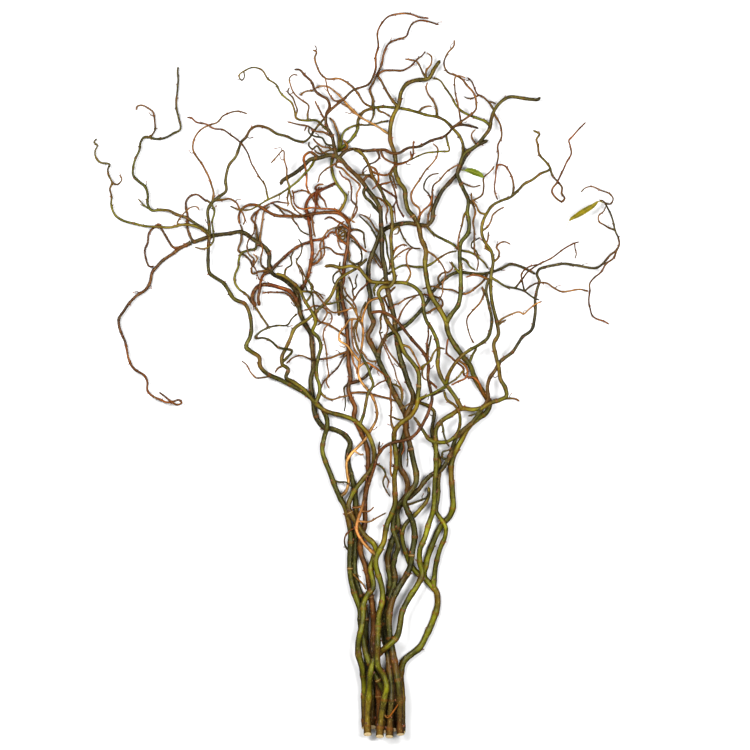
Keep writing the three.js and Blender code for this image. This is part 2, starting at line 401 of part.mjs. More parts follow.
    ["east_t2", "main", 0.9, 0.6, "brown", ["385,218 378,221 369,226 362,230 361,238 369,246 372,254"]],
    ["east_t3", "main", 0.8, 0.6, "brown", ["372,256 368,262 361,263"]],
    ["east_t4", "main", 1.3, 0.8, "red", [
      "388,190 383,176 373,168 363,154 355,147 348,138 348,128 347,114 349,101 352,90 360,85 369,83",
      "378,77",
    ]],
    ["inner_t1", "main", 1.5, 0.9, "dark", ["64,-192 76,-192 92,-187 104,-181 108,-172"]],
  ]],
  ["stem_8", [
    ["main", "", 5.2, 2.4, "dark", [
      "65,-535 64,-500 62.5,-465 57.5,-435 53,-410 49,-385 48,-358 53,-336 60,-321 69,-305 79,-286",
      "83,-262 86,-238 83,-216 75,-199 71,-188 78,-175 88,-160 89,-148 85,-130 81,-112 77,-95",
      "73,-78 74,-60 80,-46 84,-32 79,-15 72,5 65,25 61,48 57,70 55,90 51,108 46,126 43,144 42,162",
      "38,178 37,195 37,215 36,232 34,250 28,263 18,276 8,289 -3,301 -14,312 -25,324 -38,329",
      "-55,326 -70,323 -80,312 -92,303 -105,296 -112,291 -114,284",
    ]],
    ["red_ridge", "main", 2, 1.3, "umber", [
      "-27,326 -17,335 -5,339 10,336 30,337 42,338 52,333 64,333 76,340 92,343 104,348 116,353",
      "130,358 138,364 144,371 156,375 170,374 182,370",
    ]],
    ["ridge_t1", "red_ridge", 1.2, 0.8, "umber", ["30,337 33,326 28,320 18,315 10,308 8,300"]],
    ["ridge_t2", "red_ridge", 1.3, 0.8, "red", [
      "35,337 39,327 50,320 64,317 75,320 83,329 84,342 85,352",
    ]],
    ["ridge_t3", "red_ridge", 1.3, 0.9, "brown", [
      "144,371 156,380 168,389 178,399 178,411 174,422 165,433 158,442 148,448 136,453 130,466",
      "135,481 145,493 145,502",
    ]],
    ["ridge_t4", "red_ridge", 1.2, 0.8, "olive", [
      "133,360 135,348 138,337 120,335 104,333 90,327 78,321",
    ]],
    ["ridge_t5", "red_ridge", 1, 0.6, "brown", ["150,441 154,447 162,444"]],
    ["plume", "main", 2.2, 1.2, "umber", [
      "-30,329 -34,345 -38,360 -45,374 -46,390 -41,404 -44,413 -55,420 -63,427 -68,439 -78,450",
      "-86,458 -94,458",
    ]],
    ["plume_t1", "plume", 1.6, 0.8, "red", [
      "-45,391 -34,402 -20,414 -5,427 6,431 17,436 24,446 28,459 28,478 32,490 31,515 38,528 46,537",
      "65,542 85,540 97,536 108,535",
    ]],
    ["plume_t2", "plume", 1.4, 0.7, "olive", [
      "-40,363 -50,373 -60,381 -75,381 -90,385 -93,396 -98,408 -106,415 -114,423 -121,435 -132,443",
      "-142,456 -155,460 -168,455 -175,448 -173,440",
    ]],
    ["plume_t3", "plume_t2", 1, 0.6, "brown", [
      "-73,381 -73,392 -72,403 -82,411 -92,420 -99,433 -101,444 -95,449 -88,448",
    ]],
    ["plume_t4", "plume", 1.1, 0.7, "brown", ["-45,381 -53,392 -60,404 -63,412"]],
    ["plume_t5", "plume", 1.2, 0.7, "brown", ["-37,357 -50,364 -62,365 -73,373 -90,376 -104,379"]],
    ["plume_t6", "plume", 1.2, 0.7, "dark", ["-33,344 -45,346 -52,355 -62,357 -71,363 -71,372"]],
    ["plume_t7", "plume_t1", 1, 0.6, "brown", ["-20,414 -33,411 -42,423 -45,436 -48,448"]],
    ["barb", "main", 1.7, 0.8, "rust", [
      "-57,326 -70,334 -78,328 -77,312 -75,296 -74,280 -68,269 -63,258",
    ]],
    ["feeler", "main", 1.4, 0.8, "olive", [
      "-62,324 -72,307 -86,293 -100,281 -115,272 -130,264 -145,256 -160,248 -173,248 -190,254",
    ]],
    ["feeler_t1", "feeler", 1, 0.6, "brown", [
      "-100,281 -104,295 -105,310 -108,323 -110,336 -118,329 -129,317",
    ]],
    ["feeler_t2", "feeler", 1.3, 0.8, "brown", ["-102,280 -99,268 -97,256 -90,246 -82,239 -74,232"]],
    ["feeler_t3", "feeler", 1.4, 0.8, "red", [
      "-132,263 -136,281 -146,298 -157,316 -162,331 -170,343 -178,352 -187,359 -200,367 -213,369",
      "-223,375 -240,379 -248,386 -254,385",
    ]],
    ["comb", "main", 1.6, 0.9, "ember", ["8,289 16,298 28,291 36,282 48,273 57,267 62,251 70,236"]],
    ["burr", "main", 1.3, 0.8, "ochre", ["-40,329 -52,335 -60,343 -66,338 -72,344 -71,350"]],
    ["leaflet_t", "main", 1.2, 0.7, "brown", ["-16,313 -26,320 -36,314 -46,308 -56,298 -58,288"]],
    ["spit", "main", 1, 0.7, "brown", ["72,6 62,18 52,30 44,44 40,56 46,68 45,80"]],
    ["nest_1", "plume", 1.2, 0.8, "brown", ["-36,335 -42,341 -50,341.5 -57,345 -63,351 -66,355"]],
    ["nest_2", "nest_1", 1.3, 0.8, "brown", ["-38,334 -45,335.5 -53,331 -60,333 -64,338"]],
    ["wander", "main", 1.2, 0.7, "brown", [
      "-30,322 -30.5,312 -23,310 -11.6,299 -0.3,289 4.5,284 0.5,271.5 -1,257 -5,242.6 -7.5,231 -2,228",
    ]],
    ["short_1", "main", 1, 0.7, "dark", ["1,303 12.5,299.6 20,300 28.6,298.8"]],
    ["elbow_2", "main", 2, 1.6, "dark", ["31,243 27,252 20.6,260 13.3,266 10,273 10.9,281"]],
    ["fan_4", "feeler", 1, 0.7, "brown", ["-99,279 -103,271.5 -103.7,262 -102,257 -104.5,252"]],
    ["rung_1", "comb", 1.2, 0.8, "brown", ["34,284 37,286 44.7,287.6 53,291"]],
    ["stray_1", "main", 1.1, 0.8, "brown", ["28,272 38,262 46,248 43,239 45,226"]],
    ["side_5", "plume_t2", 0.9, 0.6, "brown", [
      "-88,389 -88.5,396 -92,405.6 -96,415.3 -103,423.7 -100.3,431",
    ]],
    ["lash_2", "plume_t2", 0.8, 0.6, "brown", ["-167,453 -168.5,444.5 -173.4,439"]],
    ["lash_3", "plume_t5", 0.8, 0.6, "brown", ["-75,373 -78.7,364.5"]],
    ["hang_2", "main", 0.8, 0.6, "dark", ["79,-99 75.5,-114 76.5,-126 74.5,-137"]],
  ]],
  ["stem_9", [
    ["main", "", 5.3, 1.2, "olive", [
      "16,-535 16,-505 17.9,-472 20.4,-443 24.1,-427 33,-413 48,-401 60,-388 64,-372 67,-353",
      "78,-332 91,-311 97,-297 94,-276 94,-258 102,-240 108,-220 114,-200 116,-180 116,-160",
      "118,-138 118,-115 117,-95 118,-80 127,-67 142,-57 156,-49 172,-50 187,-47 200,-40 214,-36",
      "223,-30 221,-18 214,-5 212,12 207,30 204,48 211,62 209,78 205,95 201,115 199,132 200,150",
      "203,170 200,187 191,200 186,214 187,228 194,243 203,255 216,262 231,268 241,277 250,287",
      "262,293 273,301 288,310 283,318 272,332 270,345 268,353 273,361 262,367",
    ]],
    ["tan_bow", "main", 3.2, 2.1, "olive", [
      "156,-49 149,-35 139,-21 130,-9 124,3 120,18 122,36 120,52 113,67 104,81 100,96 99,112 94,124",
      "84,134 72,139 55,139 36,139 20,142 11,151 3,160 -8,164 -25,162 -38,165 -49,163",
    ]],
    ["brace", "tan_bow", 2.6, 1.7, "moss", [
      "133,-13 136,0 143,14 154,28 166,37 181,46 195,57 200,74 200,90 196,108 192,126 195,140",
      "198,146",
    ]],
    ["finger", "main", 1.3, 0.9, "red", ["214,-36 226,-34 238,-35 243,-38"]],
    ["far_t1", "main", 1.4, 0.8, "dark", ["200,147 210,141 222,134 236,131 250,126 262,118 273,113"]],
    ["far_t2", "far_t1", 1.4, 0.9, "brown", [
      "250,126 258,133 270,139 284,138 292,132 305,126 320,127 335,129 346,126",
    ]],
    ["far_t3", "far_t1", 1.1, 0.7, "red", [
      "236,131 246,143 255,156 267,164 281,171 293,178 303,185 314,193 326,199 332,200",
    ]],
    ["far_t4", "far_t1", 1, 0.6, "red", ["250,127 247,140 245,152 252,160 264,165 276,167"]],
    ["far_t5", "far_t3", 0.7, 0.5, "brown", ["325,198 325,190 327,183 325,174"]],
    ["top_t1", "main", 1.2, 0.8, "red", [
      "288,310 292,298 300,290 306,281 305,272 310,265 307,260 295,268 291,276 299,290 307,305",
      "313,320 320,332 318,345 316,351 322,358 333,370 342,379",
    ]],
    ["top_t2", "main", 1.3, 0.8, "red", ["232,269 234,280 232,293 227,305 221,313 211,314 208,306"]],
    ["side_t1", "main", 1.1, 0.7, "brown", ["187,216 195,222 200,232 202,240 210,247 220,252"]],
    ["side_t2", "main", 1.2, 0.7, "brown", ["203,170 211,176 212,186 208,192 213,198 221,200 230,196"]],
    ["side_t3", "main", 1.1, 0.7, "brown", ["193,241 184,244 178,254 172,262 171,274"]],
    ["side_t4", "brace", 1.3, 0.8, "rust", ["197,143 185,149 172,150 162,147"]],
    ["side_t5", "brace", 1.2, 0.7, "brown", [
      "193,122 186,132 189,122 184,110 172,97 164,84 165,70 170,56 175,48",
    ]],
    ["side_t6", "main", 1.2, 0.7, "brown", ["200,185 192,192 195,204 196,216"]],
    ["peel_t", "main", 1.1, 0.6, "gold", ["209,79 220,87 232,93 243,95 248,92 256,99 264,106 276,111"]],
    ["olive_t", "main", 1.2, 0.8, "dark", ["200,-41 186,-45 178,-56 165,-60"]],
    ["shadow_t", "tan_bow", 1.3, 0.8, "dark", ["135,-16 120,-22 104,-31 90,-38 76,-43 66,-50"]],
    ["arc_t", "main", 2.4, 1.6, "moss", ["117,-99 108,-94 99,-82 90,-68 84,-60"]],
    ["arc_t2", "main", 2.2, 1.5, "olive", [
      "119,-99 133,-99 146,-90 154,-74 153,-58 146,-44 134,-34 130,-22",
    ]],
    ["high_t", "tan_bow", 1.2, 0.8, "brown", ["74,139 80,152 74,168 76,184 82,191"]],
    ["stray_6", "tan_bow", 1.5, 1, "olive", ["31,137 25,129 27,119"]],
    ["whip_2", "brace", 1.4, 0.8, "rust", ["152,23 163,12.5 165,3 162,-3 151.5,-7.5 140,-14"]],
    ["post_2", "main", 1.3, 0.9, "dark", ["128,-70 128,-76 129.4,-86 132.2,-94.4 138,-106"]],
    ["stub_c", "main", 1.1, 0.9, "brown", ["211,75 217.5,81 223.5,84"]],
  ]],
  ["stem_10", [
    ["main", "", 5.3, 1.7, "olive", [
      "34,-537 36,-512 40,-482 44.3,-460 38.8,-444 31.4,-432 30,-415 31,-395 32,-374 33,-354",
      "37,-338 38,-322 35,-306 30,-290 28,-274 33,-261 40,-248 43,-233 46,-220 52,-205 57,-190",
      "57,-170 56,-150 59,-130 58,-110 55,-95 56,-82 67,-69 80,-60 88,-47 91,-30 93,-12 91,6 82,21",
      "72,34 66,47 60,60 52,72 44,85 40,98 36,112 32,124 38,132 48,133 55,142 54,160 52,180 51,200",
      "52,220 52,240 50,252 42,262 36,276 29,288 22,300 18,313 13,324 5,333 -6,337",
    ]],
    ["rust_run", "main", 2, 1.9, "peel", [
      "29,-268 16,-256 5,-243 0,-229 2,-213 8,-196 13,-178 17,-162 22,-148 27,-134 31,-119 39,-107",
      "52,-100 66,-97 80,-92 92,-82 101,-66 108,-50 112,-35 109,-18 106,-3 107,16 99,34 87,49 75,63",
      "66,74 58,84 47,92 36,96 20,94",
    ]],
    ["rust_t1", "rust_run", 1.5, 0.8, "red", ["107,14 105,32 104,47 107,62 106,76"]],
    ["rust_t2", "rust_run", 1.1, 0.7, "dark", ["33,-115 33,-105 34,-97"]],
    ["rust_t3", "rust_run", 1, 0.7, "rust", ["68,-97 70,-108 66,-118"]],
    ["rust_t4", "rust_run", 1.1, 0.7, "brown", ["9,-194 0,-196 -8,-196"]],
    ["rust_t5", "rust_run", 1.1, 0.7, "brown", ["7,-202 18,-202 26,-195"]],
    ["rust_t6", "rust_run", 1.2, 0.7, "dark", ["2,-217 16,-218 30,-211 44,-204"]],
    ["green_t1", "main", 1.4, 0.8, "brown", ["55,-83 51,-66 51,-42 50,-20 50,-2"]],
    ["green_t2", "main", 1, 0.6, "dark", ["70,-67 58,-63 46,-58"]],
    ["green_t3", "main", 1.5, 0.8, "olive", ["90,8 98,14 108,22 114,34 121,41 132,40"]],
    ["green_t4", "main", 1.4, 0.8, "brown", ["66,47 78,42 86,30 92,16 96,8"]],
    ["green_t5", "main", 1.3, 0.8, "olive", ["90,-34 104,-30 120,-22 136,-12 150,-2 160,10"]],
    ["green_t6", "main", 1.2, 0.7, "dark", ["40,98 35,86 36,72 34,64 40,66"]],
    ["orange_t1", "main", 1.3, 0.7, "rust", ["52,178 59,190 70,196 76,193"]],
    ["orange_t2", "main", 1.2, 0.7, "rust", ["18,312 26,309 32,298 31,286 22,277"]],
    ["orange_t3", "main", 1.2, 0.7, "rust", ["20,305 32,300 46,300 56,312 70,317 80,323 80,336"]],
    ["orange_t4", "main", 1.2, 0.7, "brown", ["53,216 62,222 60,212 54,211"]],
    ["base_t", "main", 1.1, 0.8, "rust", ["36,-500 45,-509 55,-498 62,-488"]],
    ["grey_1", "green_t6", 1.1, 0.8, "brown", [
      "35,62 37,54 41.5,43 49.5,24 55.6,11.5 58.4,0 64,-12 69.5,-29",
    ]],
    ["grey_2", "rust_run", 1, 0.7, "brown", ["61,81 63,86 67,96 72,104.4 81.6,114.8 89,119"]],
    ["bridge_2", "rust_t1", 1.2, 0.9, "dark", ["107,28 106.5,40 109,49.7 111,62"]],
    ["stray_4", "main", 1, 0.7, "brown", ["56,172 62.4,181.5 72,188 80,191"]],
    ["nick_2", "green_t3", 1.2, 0.9, "brown", ["102,15 97,7 98.8,-2.5 104,-7"]],
    ["nick_3", "rust_run", 1.4, 1, "rust", ["108,-7 113,-12 119.7,-19"]],
    ["line_2", "rust_run", 0.9, 0.7, "dark", ["112,-29.5 115,-28 132,-20.5"]],
    ["strip_1", "rust_run", 1.3, 0.9, "gold", ["52,-104 50.5,-113 50.7,-129 50,-143 52,-151"]],
  ]],
];

// Each leaf: name, colour, half width, where its blade ends as a share of the midrib, the shoot
// it grows on, and its midrib in plan.
const LEAVES = [
  ["leaf_green", 0x74842a, 4.4, 0.94, "stem_4 spear",
    "160,307.6 167,307.6 175,305 184,301 190.5,296"],
  ["leaf_yellow", 0x7c7a24, 4.6, 0.82, "stem_7 main",
    "362,261 353,254.5 343,248.5 330,240.5 318,232.5 312.5,220"],
];

const mix = (a, b, t) => a + (b - a) * t;
const clamp = (v, low, high) => Math.min(high, Math.max(low, v));
const parse = (lines) =>
  lines
    .join(" ")
    .split(" ")
    .map((pair) => pair.split(",").map(Number))
    .map(([x, y]) => [x + SHIFT[0], y + SHIFT[1]]);

// A shoot's radius from the one in its row: the middling ones are the fullest.
const fullRadius = (drawn) =>
  Math.min(FULLER.slope * drawn + FULLER.add, FULLER.slopeThick * drawn + FULLER.addThick);

// Drops the points of a route that a straight run passes within the chord limit.
function thinOut(points) {
  const kept = [0];
  let from = 0;
  for (let to = 2; to < points.length; to++) {
    const [ax, ay] = points[from];
    const dx = points[to][0] - ax;
    const dy = points[to][1] - ay;
    const run = Math.hypot(dx, dy);
    let worst = 0;
    for (let i = from + 1; i < to; i++) {
      const off = (points[i][0] - ax) * dy - (points[i][1] - ay) * dx;
      worst = Math.max(worst, Math.abs(off) / run);
    }
    if (worst > CHORD || run > LONGEST_RUN) {
      kept.push(to - 1);
      from = to - 1;
    }
  }
  kept.push(points.length - 1);
  return kept;
}

// The point of a path that lies nearest to a place in plan: where along it, and how far off.
function nearest(path, [x, y]) {
  let best = { off: Infinity };
  for (let i = 0; i + 1 < path.length; i++) {
    const [ax, ay] = path[i];
    const dx = path[i + 1][0] - ax;
    const dy = path[i + 1][1] - ay;
    const t = clamp(((x - ax) * dx + (y - ay) * dy) / (dx * dx + dy * dy), 0, 1);
    const off = Math.hypot(ax + dx * t - x, ay + dy * t - y);
    if (off < best.off) best = { off, segment: i, t, place: [ax + dx * t, ay + dy * t] };
  }
  return best;
}

// Reads the table: every shoot gets its path, radii, and the place on its parent it grows from.
function readShoots() {
  const shoots = [];
  STEMS.forEach(([stem, rows], tier) => {
    const byName = {};
    for (const [name, parentName, drawnStart, drawnTip, bark, lines] of rows) {
      const startRadius = fullRadius(drawnStart);
      const tipRadius = fullRadius(drawnTip);
      if (parentName && (startRadius < THIN_LIMIT || !byName[parentName])) continue;
      let path = parse(lines);
      const parent = byName[parentName];
      let join = null;
      if (parent) {
        join = nearest(parent.path, path[0]);
        path[0] = join.place;
      }
      path = thinOut(path).map((i) => path[i]);
      const along = [0];
      for (let i = 1; i < path.length; i++) {
        const step = Math.hypot(path[i][0] - path[i - 1][0], path[i][1] - path[i - 1][1]);
        along.push(along[i - 1] + step);
      }
      const length = along[along.length - 1];
      const most = parent ? radiusAt(parent, join.segment, join.t) * SHOULDER : startRadius;
      const shoot = {
        stem, tier, name, bark, path, along, length, parent, join,
        startRadius: Math.min(startRadius, most),
        tipRadius: Math.min(tipRadius, most),
        order: shoots.length,
      };
      byName[name] = shoot;
      shoots.push(shoot);
    }
  });
  return shoots;
}

const radiusOf = (shoot, i) =>
  mix(shoot.startRadius, shoot.tipRadius, Math.pow(shoot.along[i] / shoot.length, TAPER));
const radiusAt = (shoot, i, t) => mix(radiusOf(shoot, i), radiusOf(shoot, i + 1), t);

// The height a shoot would take on its own: low at the cut ends, fanning up, tips bending down.
function restHeight(shoot, i) {
  const y = shoot.path[i][1];
  const open = clamp((y - MOUTH.start) / (MOUTH.end - MOUTH.start), 0, 1);
  const rise = open * open * (3 - 2 * open);
  const away = Math.hypot(shoot.path[i][0], y - TIPS.middle);
  const far = clamp((away - TIPS.start) / TIPS.width, 0, 1);
  const swing = shoot.parent ? TWIG_SWING * Math.sin(1.9 * shoot.order) : 0;
  const own = swing * (shoot.along[i] / shoot.length);
  return LOWEST + shoot.tier * SPREAD * rise * (1 - TIPS.drop * far) + own;
}

// Works out a height for every point, so that shoots that cross pass over one another.
function settle(shoots) {
  let count = 0;
  for (const shoot of shoots) {
    shoot.first = count;
    count += shoot.path.length;
  }
  const z = new Float64Array(count);
  const low = new Float64Array(count);
  const rest = new Float64Array(count);
  for (const shoot of shoots)
    shoot.path.forEach((_, i) => {
      const k = shoot.first + i;
      const flare = shoot.parent || i ? 1 : BUTT_FLARE;
      low[k] = radiusOf(shoot, i) * flare + FLOOR_CLEAR;
      rest[k] = Math.max(low[k], restHeight(shoot, i));
      z[k] = rest[k];
    });
  const pairs = findPairs(shoots);
  const lift = new Float64Array(count);
  const drop = new Float64Array(count);
  const joinAll = () => {
    for (const shoot of shoots)
      if (shoot.parent) {
        const k = shoot.parent.first + shoot.join.segment;
        z[shoot.first] = mix(z[k], z[k + 1], shoot.join.t);
      }
  };
  for (let round = 0; round < SETTLE_ROUNDS + LIFT_ROUNDS; round++) {
    const lifting = round >= SETTLE_ROUNDS;
    if (!lifting) {
      const before = z.slice();
      for (const shoot of shoots)
        for (let i = 0; i < shoot.path.length; i++) {
          const k = shoot.first + i;
          const last = i === shoot.path.length - 1;
          const back = i ? before[k - 1] : before[k];
          const ahead = last ? before[k] : before[k + 1];
          z[k] += SMOOTHING * ((back + ahead) / 2 - before[k]) + SINKING * (rest[k] - before[k]);
        }
    }
    joinAll();
    lift.fill(0);
    drop.fill(0);
    for (const [a, s, b, t, need] of pairs) {
      const miss = need - (mix(z[b], z[b + 1], t) - mix(z[a], z[a + 1], s));
      if (miss <= 0) continue;
      const up = (lifting ? 1 : PUSH_UP) * miss;
      const wide = t * t + (1 - t) * (1 - t);
      lift[b] = Math.max(lift[b], (up * (1 - t)) / wide);
      lift[b + 1] = Math.max(lift[b + 1], (up * t) / wide);
      if (lifting) continue;
      const down = PUSH_DOWN * miss;
      drop[a] = Math.max(drop[a], down * (1 - s));
      drop[a + 1] = Math.max(drop[a + 1], down * s);
    }
    for (let k = 0; k < count; k++) z[k] = Math.max(low[k], z[k] + lift[k] - drop[k]);
  }
  joinAll();
  for (const shoot of shoots)
    shoot.path = shoot.path.map(([x, y], i) => new THREE.Vector3(x, y, z[shoot.first + i]));
}

// Every pair of places on two runs that are too close in plan to lie at one height.
// Each pair: lower run's first point, place along it, upper run's first point, place, and height.
function findPairs(shoots) {
  const grid = new Map();
  const samples = [];
  for (const shoot of shoots)
    for (let i = 0; i + 1 < shoot.path.length; i++) {
      const step = shoot.along[i + 1] - shoot.along[i];
      const parts = Math.max(1, Math.ceil(step / SAMPLE));
      for (let j = 0; j < parts; j++) {
        const t = (j + 0.5) / parts;
        const x = mix(shoot.path[i][0], shoot.path[i + 1][0], t);
        const y = mix(shoot.path[i][1], shoot.path[i + 1][1], t);
        const sample = {
          shoot, x, y, t, point: shoot.first + i, along: shoot.along[i] + step * t,
          radius: radiusAt(shoot, i, t), index: samples.length,
        };
        samples.push(sample);
        const key = Math.floor(x / CELL) + "," + Math.floor(y / CELL);
        if (!grid.has(key)) grid.set(key, []);
        grid.get(key).push(sample);
      }
    }
  const pairs = [];
  for (const lower of samples) {
    const cx = Math.floor(lower.x / CELL);
    const cy = Math.floor(lower.y / CELL);
    for (let gx = cx - 1; gx <= cx + 1; gx++)
      for (let gy = cy - 1; gy <= cy + 1; gy++)
        for (const upper of grid.get(gx + "," + gy) ?? []) {
          if (upper.index <= lower.index || joined(lower, upper)) continue;
          const apart = Math.hypot(lower.x - upper.x, lower.y - upper.y);
          const reach = lower.radius + upper.radius + GAP;
          const blur = Math.max(0, apart - SAMPLE / 2);
          if (blur >= reach) continue;
          const need = Math.sqrt(reach * reach - blur * blur);
          pairs.push([lower.point, lower.t, upper.point, upper.t, need]);
        }
  }
  return pairs;
}

// Whether two places may touch: on one run of a shoot, or about a join of the same stem.
function joined(a, b) {
  if (a.shoot.stem !== b.shoot.stem) return false;
  if (a.shoot === b.shoot) return Math.abs(a.along - b.along) < LOOP_CLEAR;
  for (const [child, other] of [[b, a], [a, b]]) {
    if (child.shoot.parent === other.shoot && child.along < NEAR_JOIN) return true;
    if (child.shoot.parent && child.along < NEAR_JOIN / 2) return true;
  }
  return false;
}

// A closed cylinder bent along a path, with a half width and a half height at each ring.
function limb(path, radii, sides, heights = radii) {
  const geometry = new THREE.CylinderGeometry(1, 1, 1, sides, path.length - 1);
  geometry.deleteAttribute("normal");
  geometry.deleteAttribute("uv");
  const merged = mergeVertices(geometry);
  const rings = frames(path);
  const place = merged.getAttribute("position");
  for (let k = 0; k < place.count; k++) {
    const ring = Math.round((place.getY(k) + 0.5) * (path.length - 1));
    const [across, up] = rings[ring];
    const v = path[ring]
      .clone()
      .addScaledVector(across, place.getX(k) * radii[ring])
      .addScaledVector(up, place.getZ(k) * heights[ring]);
    place.setXYZ(k, v.x, v.y, v.z);
  }
  return merged;
}

// Two directions square to the path at each of its points, turning as little as they can.
function frames(path) {
  const result = [];
  let across = new THREE.Vector3(0, 0, 1);
  path.forEach((point, i) => {
    const back = path[Math.max(0, i - 1)];
    const ahead = path[Math.min(path.length - 1, i + 1)];
    const before = point.clone().sub(back).normalize();
    const after = ahead.clone().sub(point).normalize();
    const tangent = before.add(after).normalize();
    if (!i) across.crossVectors(tangent, across).normalize();
    across = across.clone().addScaledVector(tangent, -across.dot(tangent)).normalize();
    result.push([across, across.clone().cross(tangent)]);
  });
  return result;
}

const wasm = await Module();
wasm.setup();
const solidOf = (geometry) =>
  new wasm.Manifold(
    new wasm.Mesh({
      numProp: 3,
      vertProperties: geometry.getAttribute("position").array,
      triVerts: new Uint32Array(geometry.index.array),
    }),
  );

function geometryOf(solid) {
  const mesh = solid.getMesh();
  return new THREE.BufferGeometry()
    .setAttribute("position", new THREE.BufferAttribute(mesh.vertProperties, 3))
    .setIndex(new THREE.BufferAttribute(mesh.triVerts, 1));
}

function shootGeometry(shoot) {
  const sides = shoot.startRadius > 3.9 ? 7 : shoot.startRadius > 2 ? 5 : 4;
  const radii = shoot.path.map((_, i) => radiusOf(shoot, i));
  if (!shoot.parent) radii[0] *= BUTT_FLARE;
  return limb(shoot.path, radii, sides);
}

function stemMesh(name, shoots) {
  const solid = shoots
    .map((shoot) => solidOf(shootGeometry(shoot)))
    .reduce((whole, piece) => whole.add(piece));
  const mesh = new THREE.Mesh(
    geometryOf(solid),
    new THREE.MeshStandardMaterial({ ...BARK[shoots[0].bark], metalness: 0 }),
  );
  mesh.name = name;
  return mesh;
}

// A leaf's path: from a stalk beside its twig, over whatever shoots it crosses.
function leafPath(shoots, halfWidth, perch, route) {
  const [stem, name] = perch.split(" ");
  const twig = shoots.find((shoot) => shoot.stem === stem && shoot.name === name);
  const plan = parse([route]);
  const flat = twig.path.map((p) => [p.x, p.y]);
  const at = nearest(flat, plan[0]);
  const foot = new THREE.Vector3().lerpVectors(
    twig.path[at.segment],
    twig.path[at.segment + 1],
    at.t,
  );
  const out = new THREE.Vector3(plan[0][0], plan[0][1], foot.z).sub(foot).normalize();
  foot.addScaledVector(out, radiusAt(twig, at.segment, at.t) + PERCH_GAP);
  const path = [foot];
  for (const place of plan) {
    let height = path[path.length - 1].z;
    for (const shoot of shoots) {
      const near = nearest(shoot.path.map((p) => [p.x, p.y]), place);
      const radius = radiusAt(shoot, near.segment, near.t);
      if (near.off > halfWidth + radius + GAP || shoot === twig) continue;
      const level = mix(shoot.path[near.segment].z, shoot.path[near.segment + 1].z, near.t);
      height = Math.max(height, level + radius + LEAF_HALF_THICK + GAP);
    }
    path.push(new THREE.Vector3(place[0], place[1], height));
  }
  return new THREE.CatmullRomCurve3(path).getSpacedPoints(LEAF_RINGS);
}

// A thin willow leaf: a round stalk that opens into a narrow blade and closes to a point.
function leafMesh(shoots, [name, color, halfWidth, bladeEnd, perch, route]) {
  const path = leafPath(shoots, halfWidth, perch, route);
  const widths = path.map((_, i) => {
    const u = i / LEAF_RINGS;
    const share = clamp((u - LEAF_BLADE.start) / (bladeEnd - LEAF_BLADE.start), 0, 1);
    const blade = halfWidth * Math.pow(Math.sin(Math.PI * share), LEAF_BLADE.fullness);
    return Math.max(LEAF_STALK * (1 - 0.5 * u), blade);
  });
  const heights = widths.map((width) => Math.min(width, LEAF_HALF_THICK));
  const mesh = new THREE.Mesh(
    limb(path, widths, LEAF_SIDES, heights),
    new THREE.MeshStandardMaterial({ color, roughness: 0.5, metalness: 0 }),
  );
  mesh.name = name;
  return mesh;
}

const shoots = readShoots();
settle(shoots);
const bunch = new THREE.Group();
for (const [name] of STEMS)
  bunch.add(stemMesh(name, shoots.filter((shoot) => shoot.stem === name)));
for (const leaf of LEAVES) bunch.add(leafMesh(shoots, leaf));

export default bunch;
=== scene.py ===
"""The looks of a loose bunch of cut corkscrew-willow stems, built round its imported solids.

Ten cut stems lie in a pile with their butts side by side and fan out into fine, twisting
twigs. Each stem builds its own bark, buds and cut face, and each leaf its blade and stalk.
The table of shoots holds every route in plan, in millimetres, and the pile works out their
heights.
"""

from __future__ import annotations

import json
import logging
import math
import random
from dataclasses import dataclass, field
from enum import Enum

import bmesh
import bpy
import numpy as np
from mathutils import Matrix, Vector
from mathutils.kdtree import KDTree

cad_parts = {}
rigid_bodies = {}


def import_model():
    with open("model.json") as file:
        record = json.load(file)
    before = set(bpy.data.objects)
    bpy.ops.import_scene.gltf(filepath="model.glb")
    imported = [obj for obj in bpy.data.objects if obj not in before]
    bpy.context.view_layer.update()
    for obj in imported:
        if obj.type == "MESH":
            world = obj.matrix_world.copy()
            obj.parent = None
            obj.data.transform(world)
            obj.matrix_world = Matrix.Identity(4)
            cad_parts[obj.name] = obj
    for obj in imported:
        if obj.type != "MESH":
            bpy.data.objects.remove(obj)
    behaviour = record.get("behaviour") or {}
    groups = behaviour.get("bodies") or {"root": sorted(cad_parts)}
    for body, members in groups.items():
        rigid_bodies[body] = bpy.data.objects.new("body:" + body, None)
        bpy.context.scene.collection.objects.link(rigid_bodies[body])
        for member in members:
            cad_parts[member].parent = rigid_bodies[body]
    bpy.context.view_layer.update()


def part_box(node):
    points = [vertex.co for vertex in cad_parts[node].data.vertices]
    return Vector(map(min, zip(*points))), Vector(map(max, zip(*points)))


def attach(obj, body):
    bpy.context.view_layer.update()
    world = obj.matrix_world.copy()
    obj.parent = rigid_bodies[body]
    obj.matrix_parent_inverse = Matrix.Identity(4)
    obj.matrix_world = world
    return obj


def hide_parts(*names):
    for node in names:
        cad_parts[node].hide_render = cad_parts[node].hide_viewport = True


MM = 0.001
LOG = logging.getLogger("willow")
ROOT_BODY = "root"

# Brings the middle of the bunch onto the origin, in millimetres.
SHIFT = (0.9, -2.1)
# A shoot thinner than this at its start has no solid and is laid over those that have one.
THIN_LIMIT = 1.75
# How far a straight run may stray from the drawn route, and how long it may be.
CHORD = 1.3
LONGEST_RUN = 60.0
# A radius follows from the drawn one by the lower of two lines, each a slope and an addend.
FULLER = ((1.05, 0.42), (0.5, 2.65))
# How early a shoot loses its width, where 1 is even, and the most that a side shoot may have
# of its parent's width.
TAPER = 0.9
SHOULDER = 0.92
BUTT_FLARE = 1.14

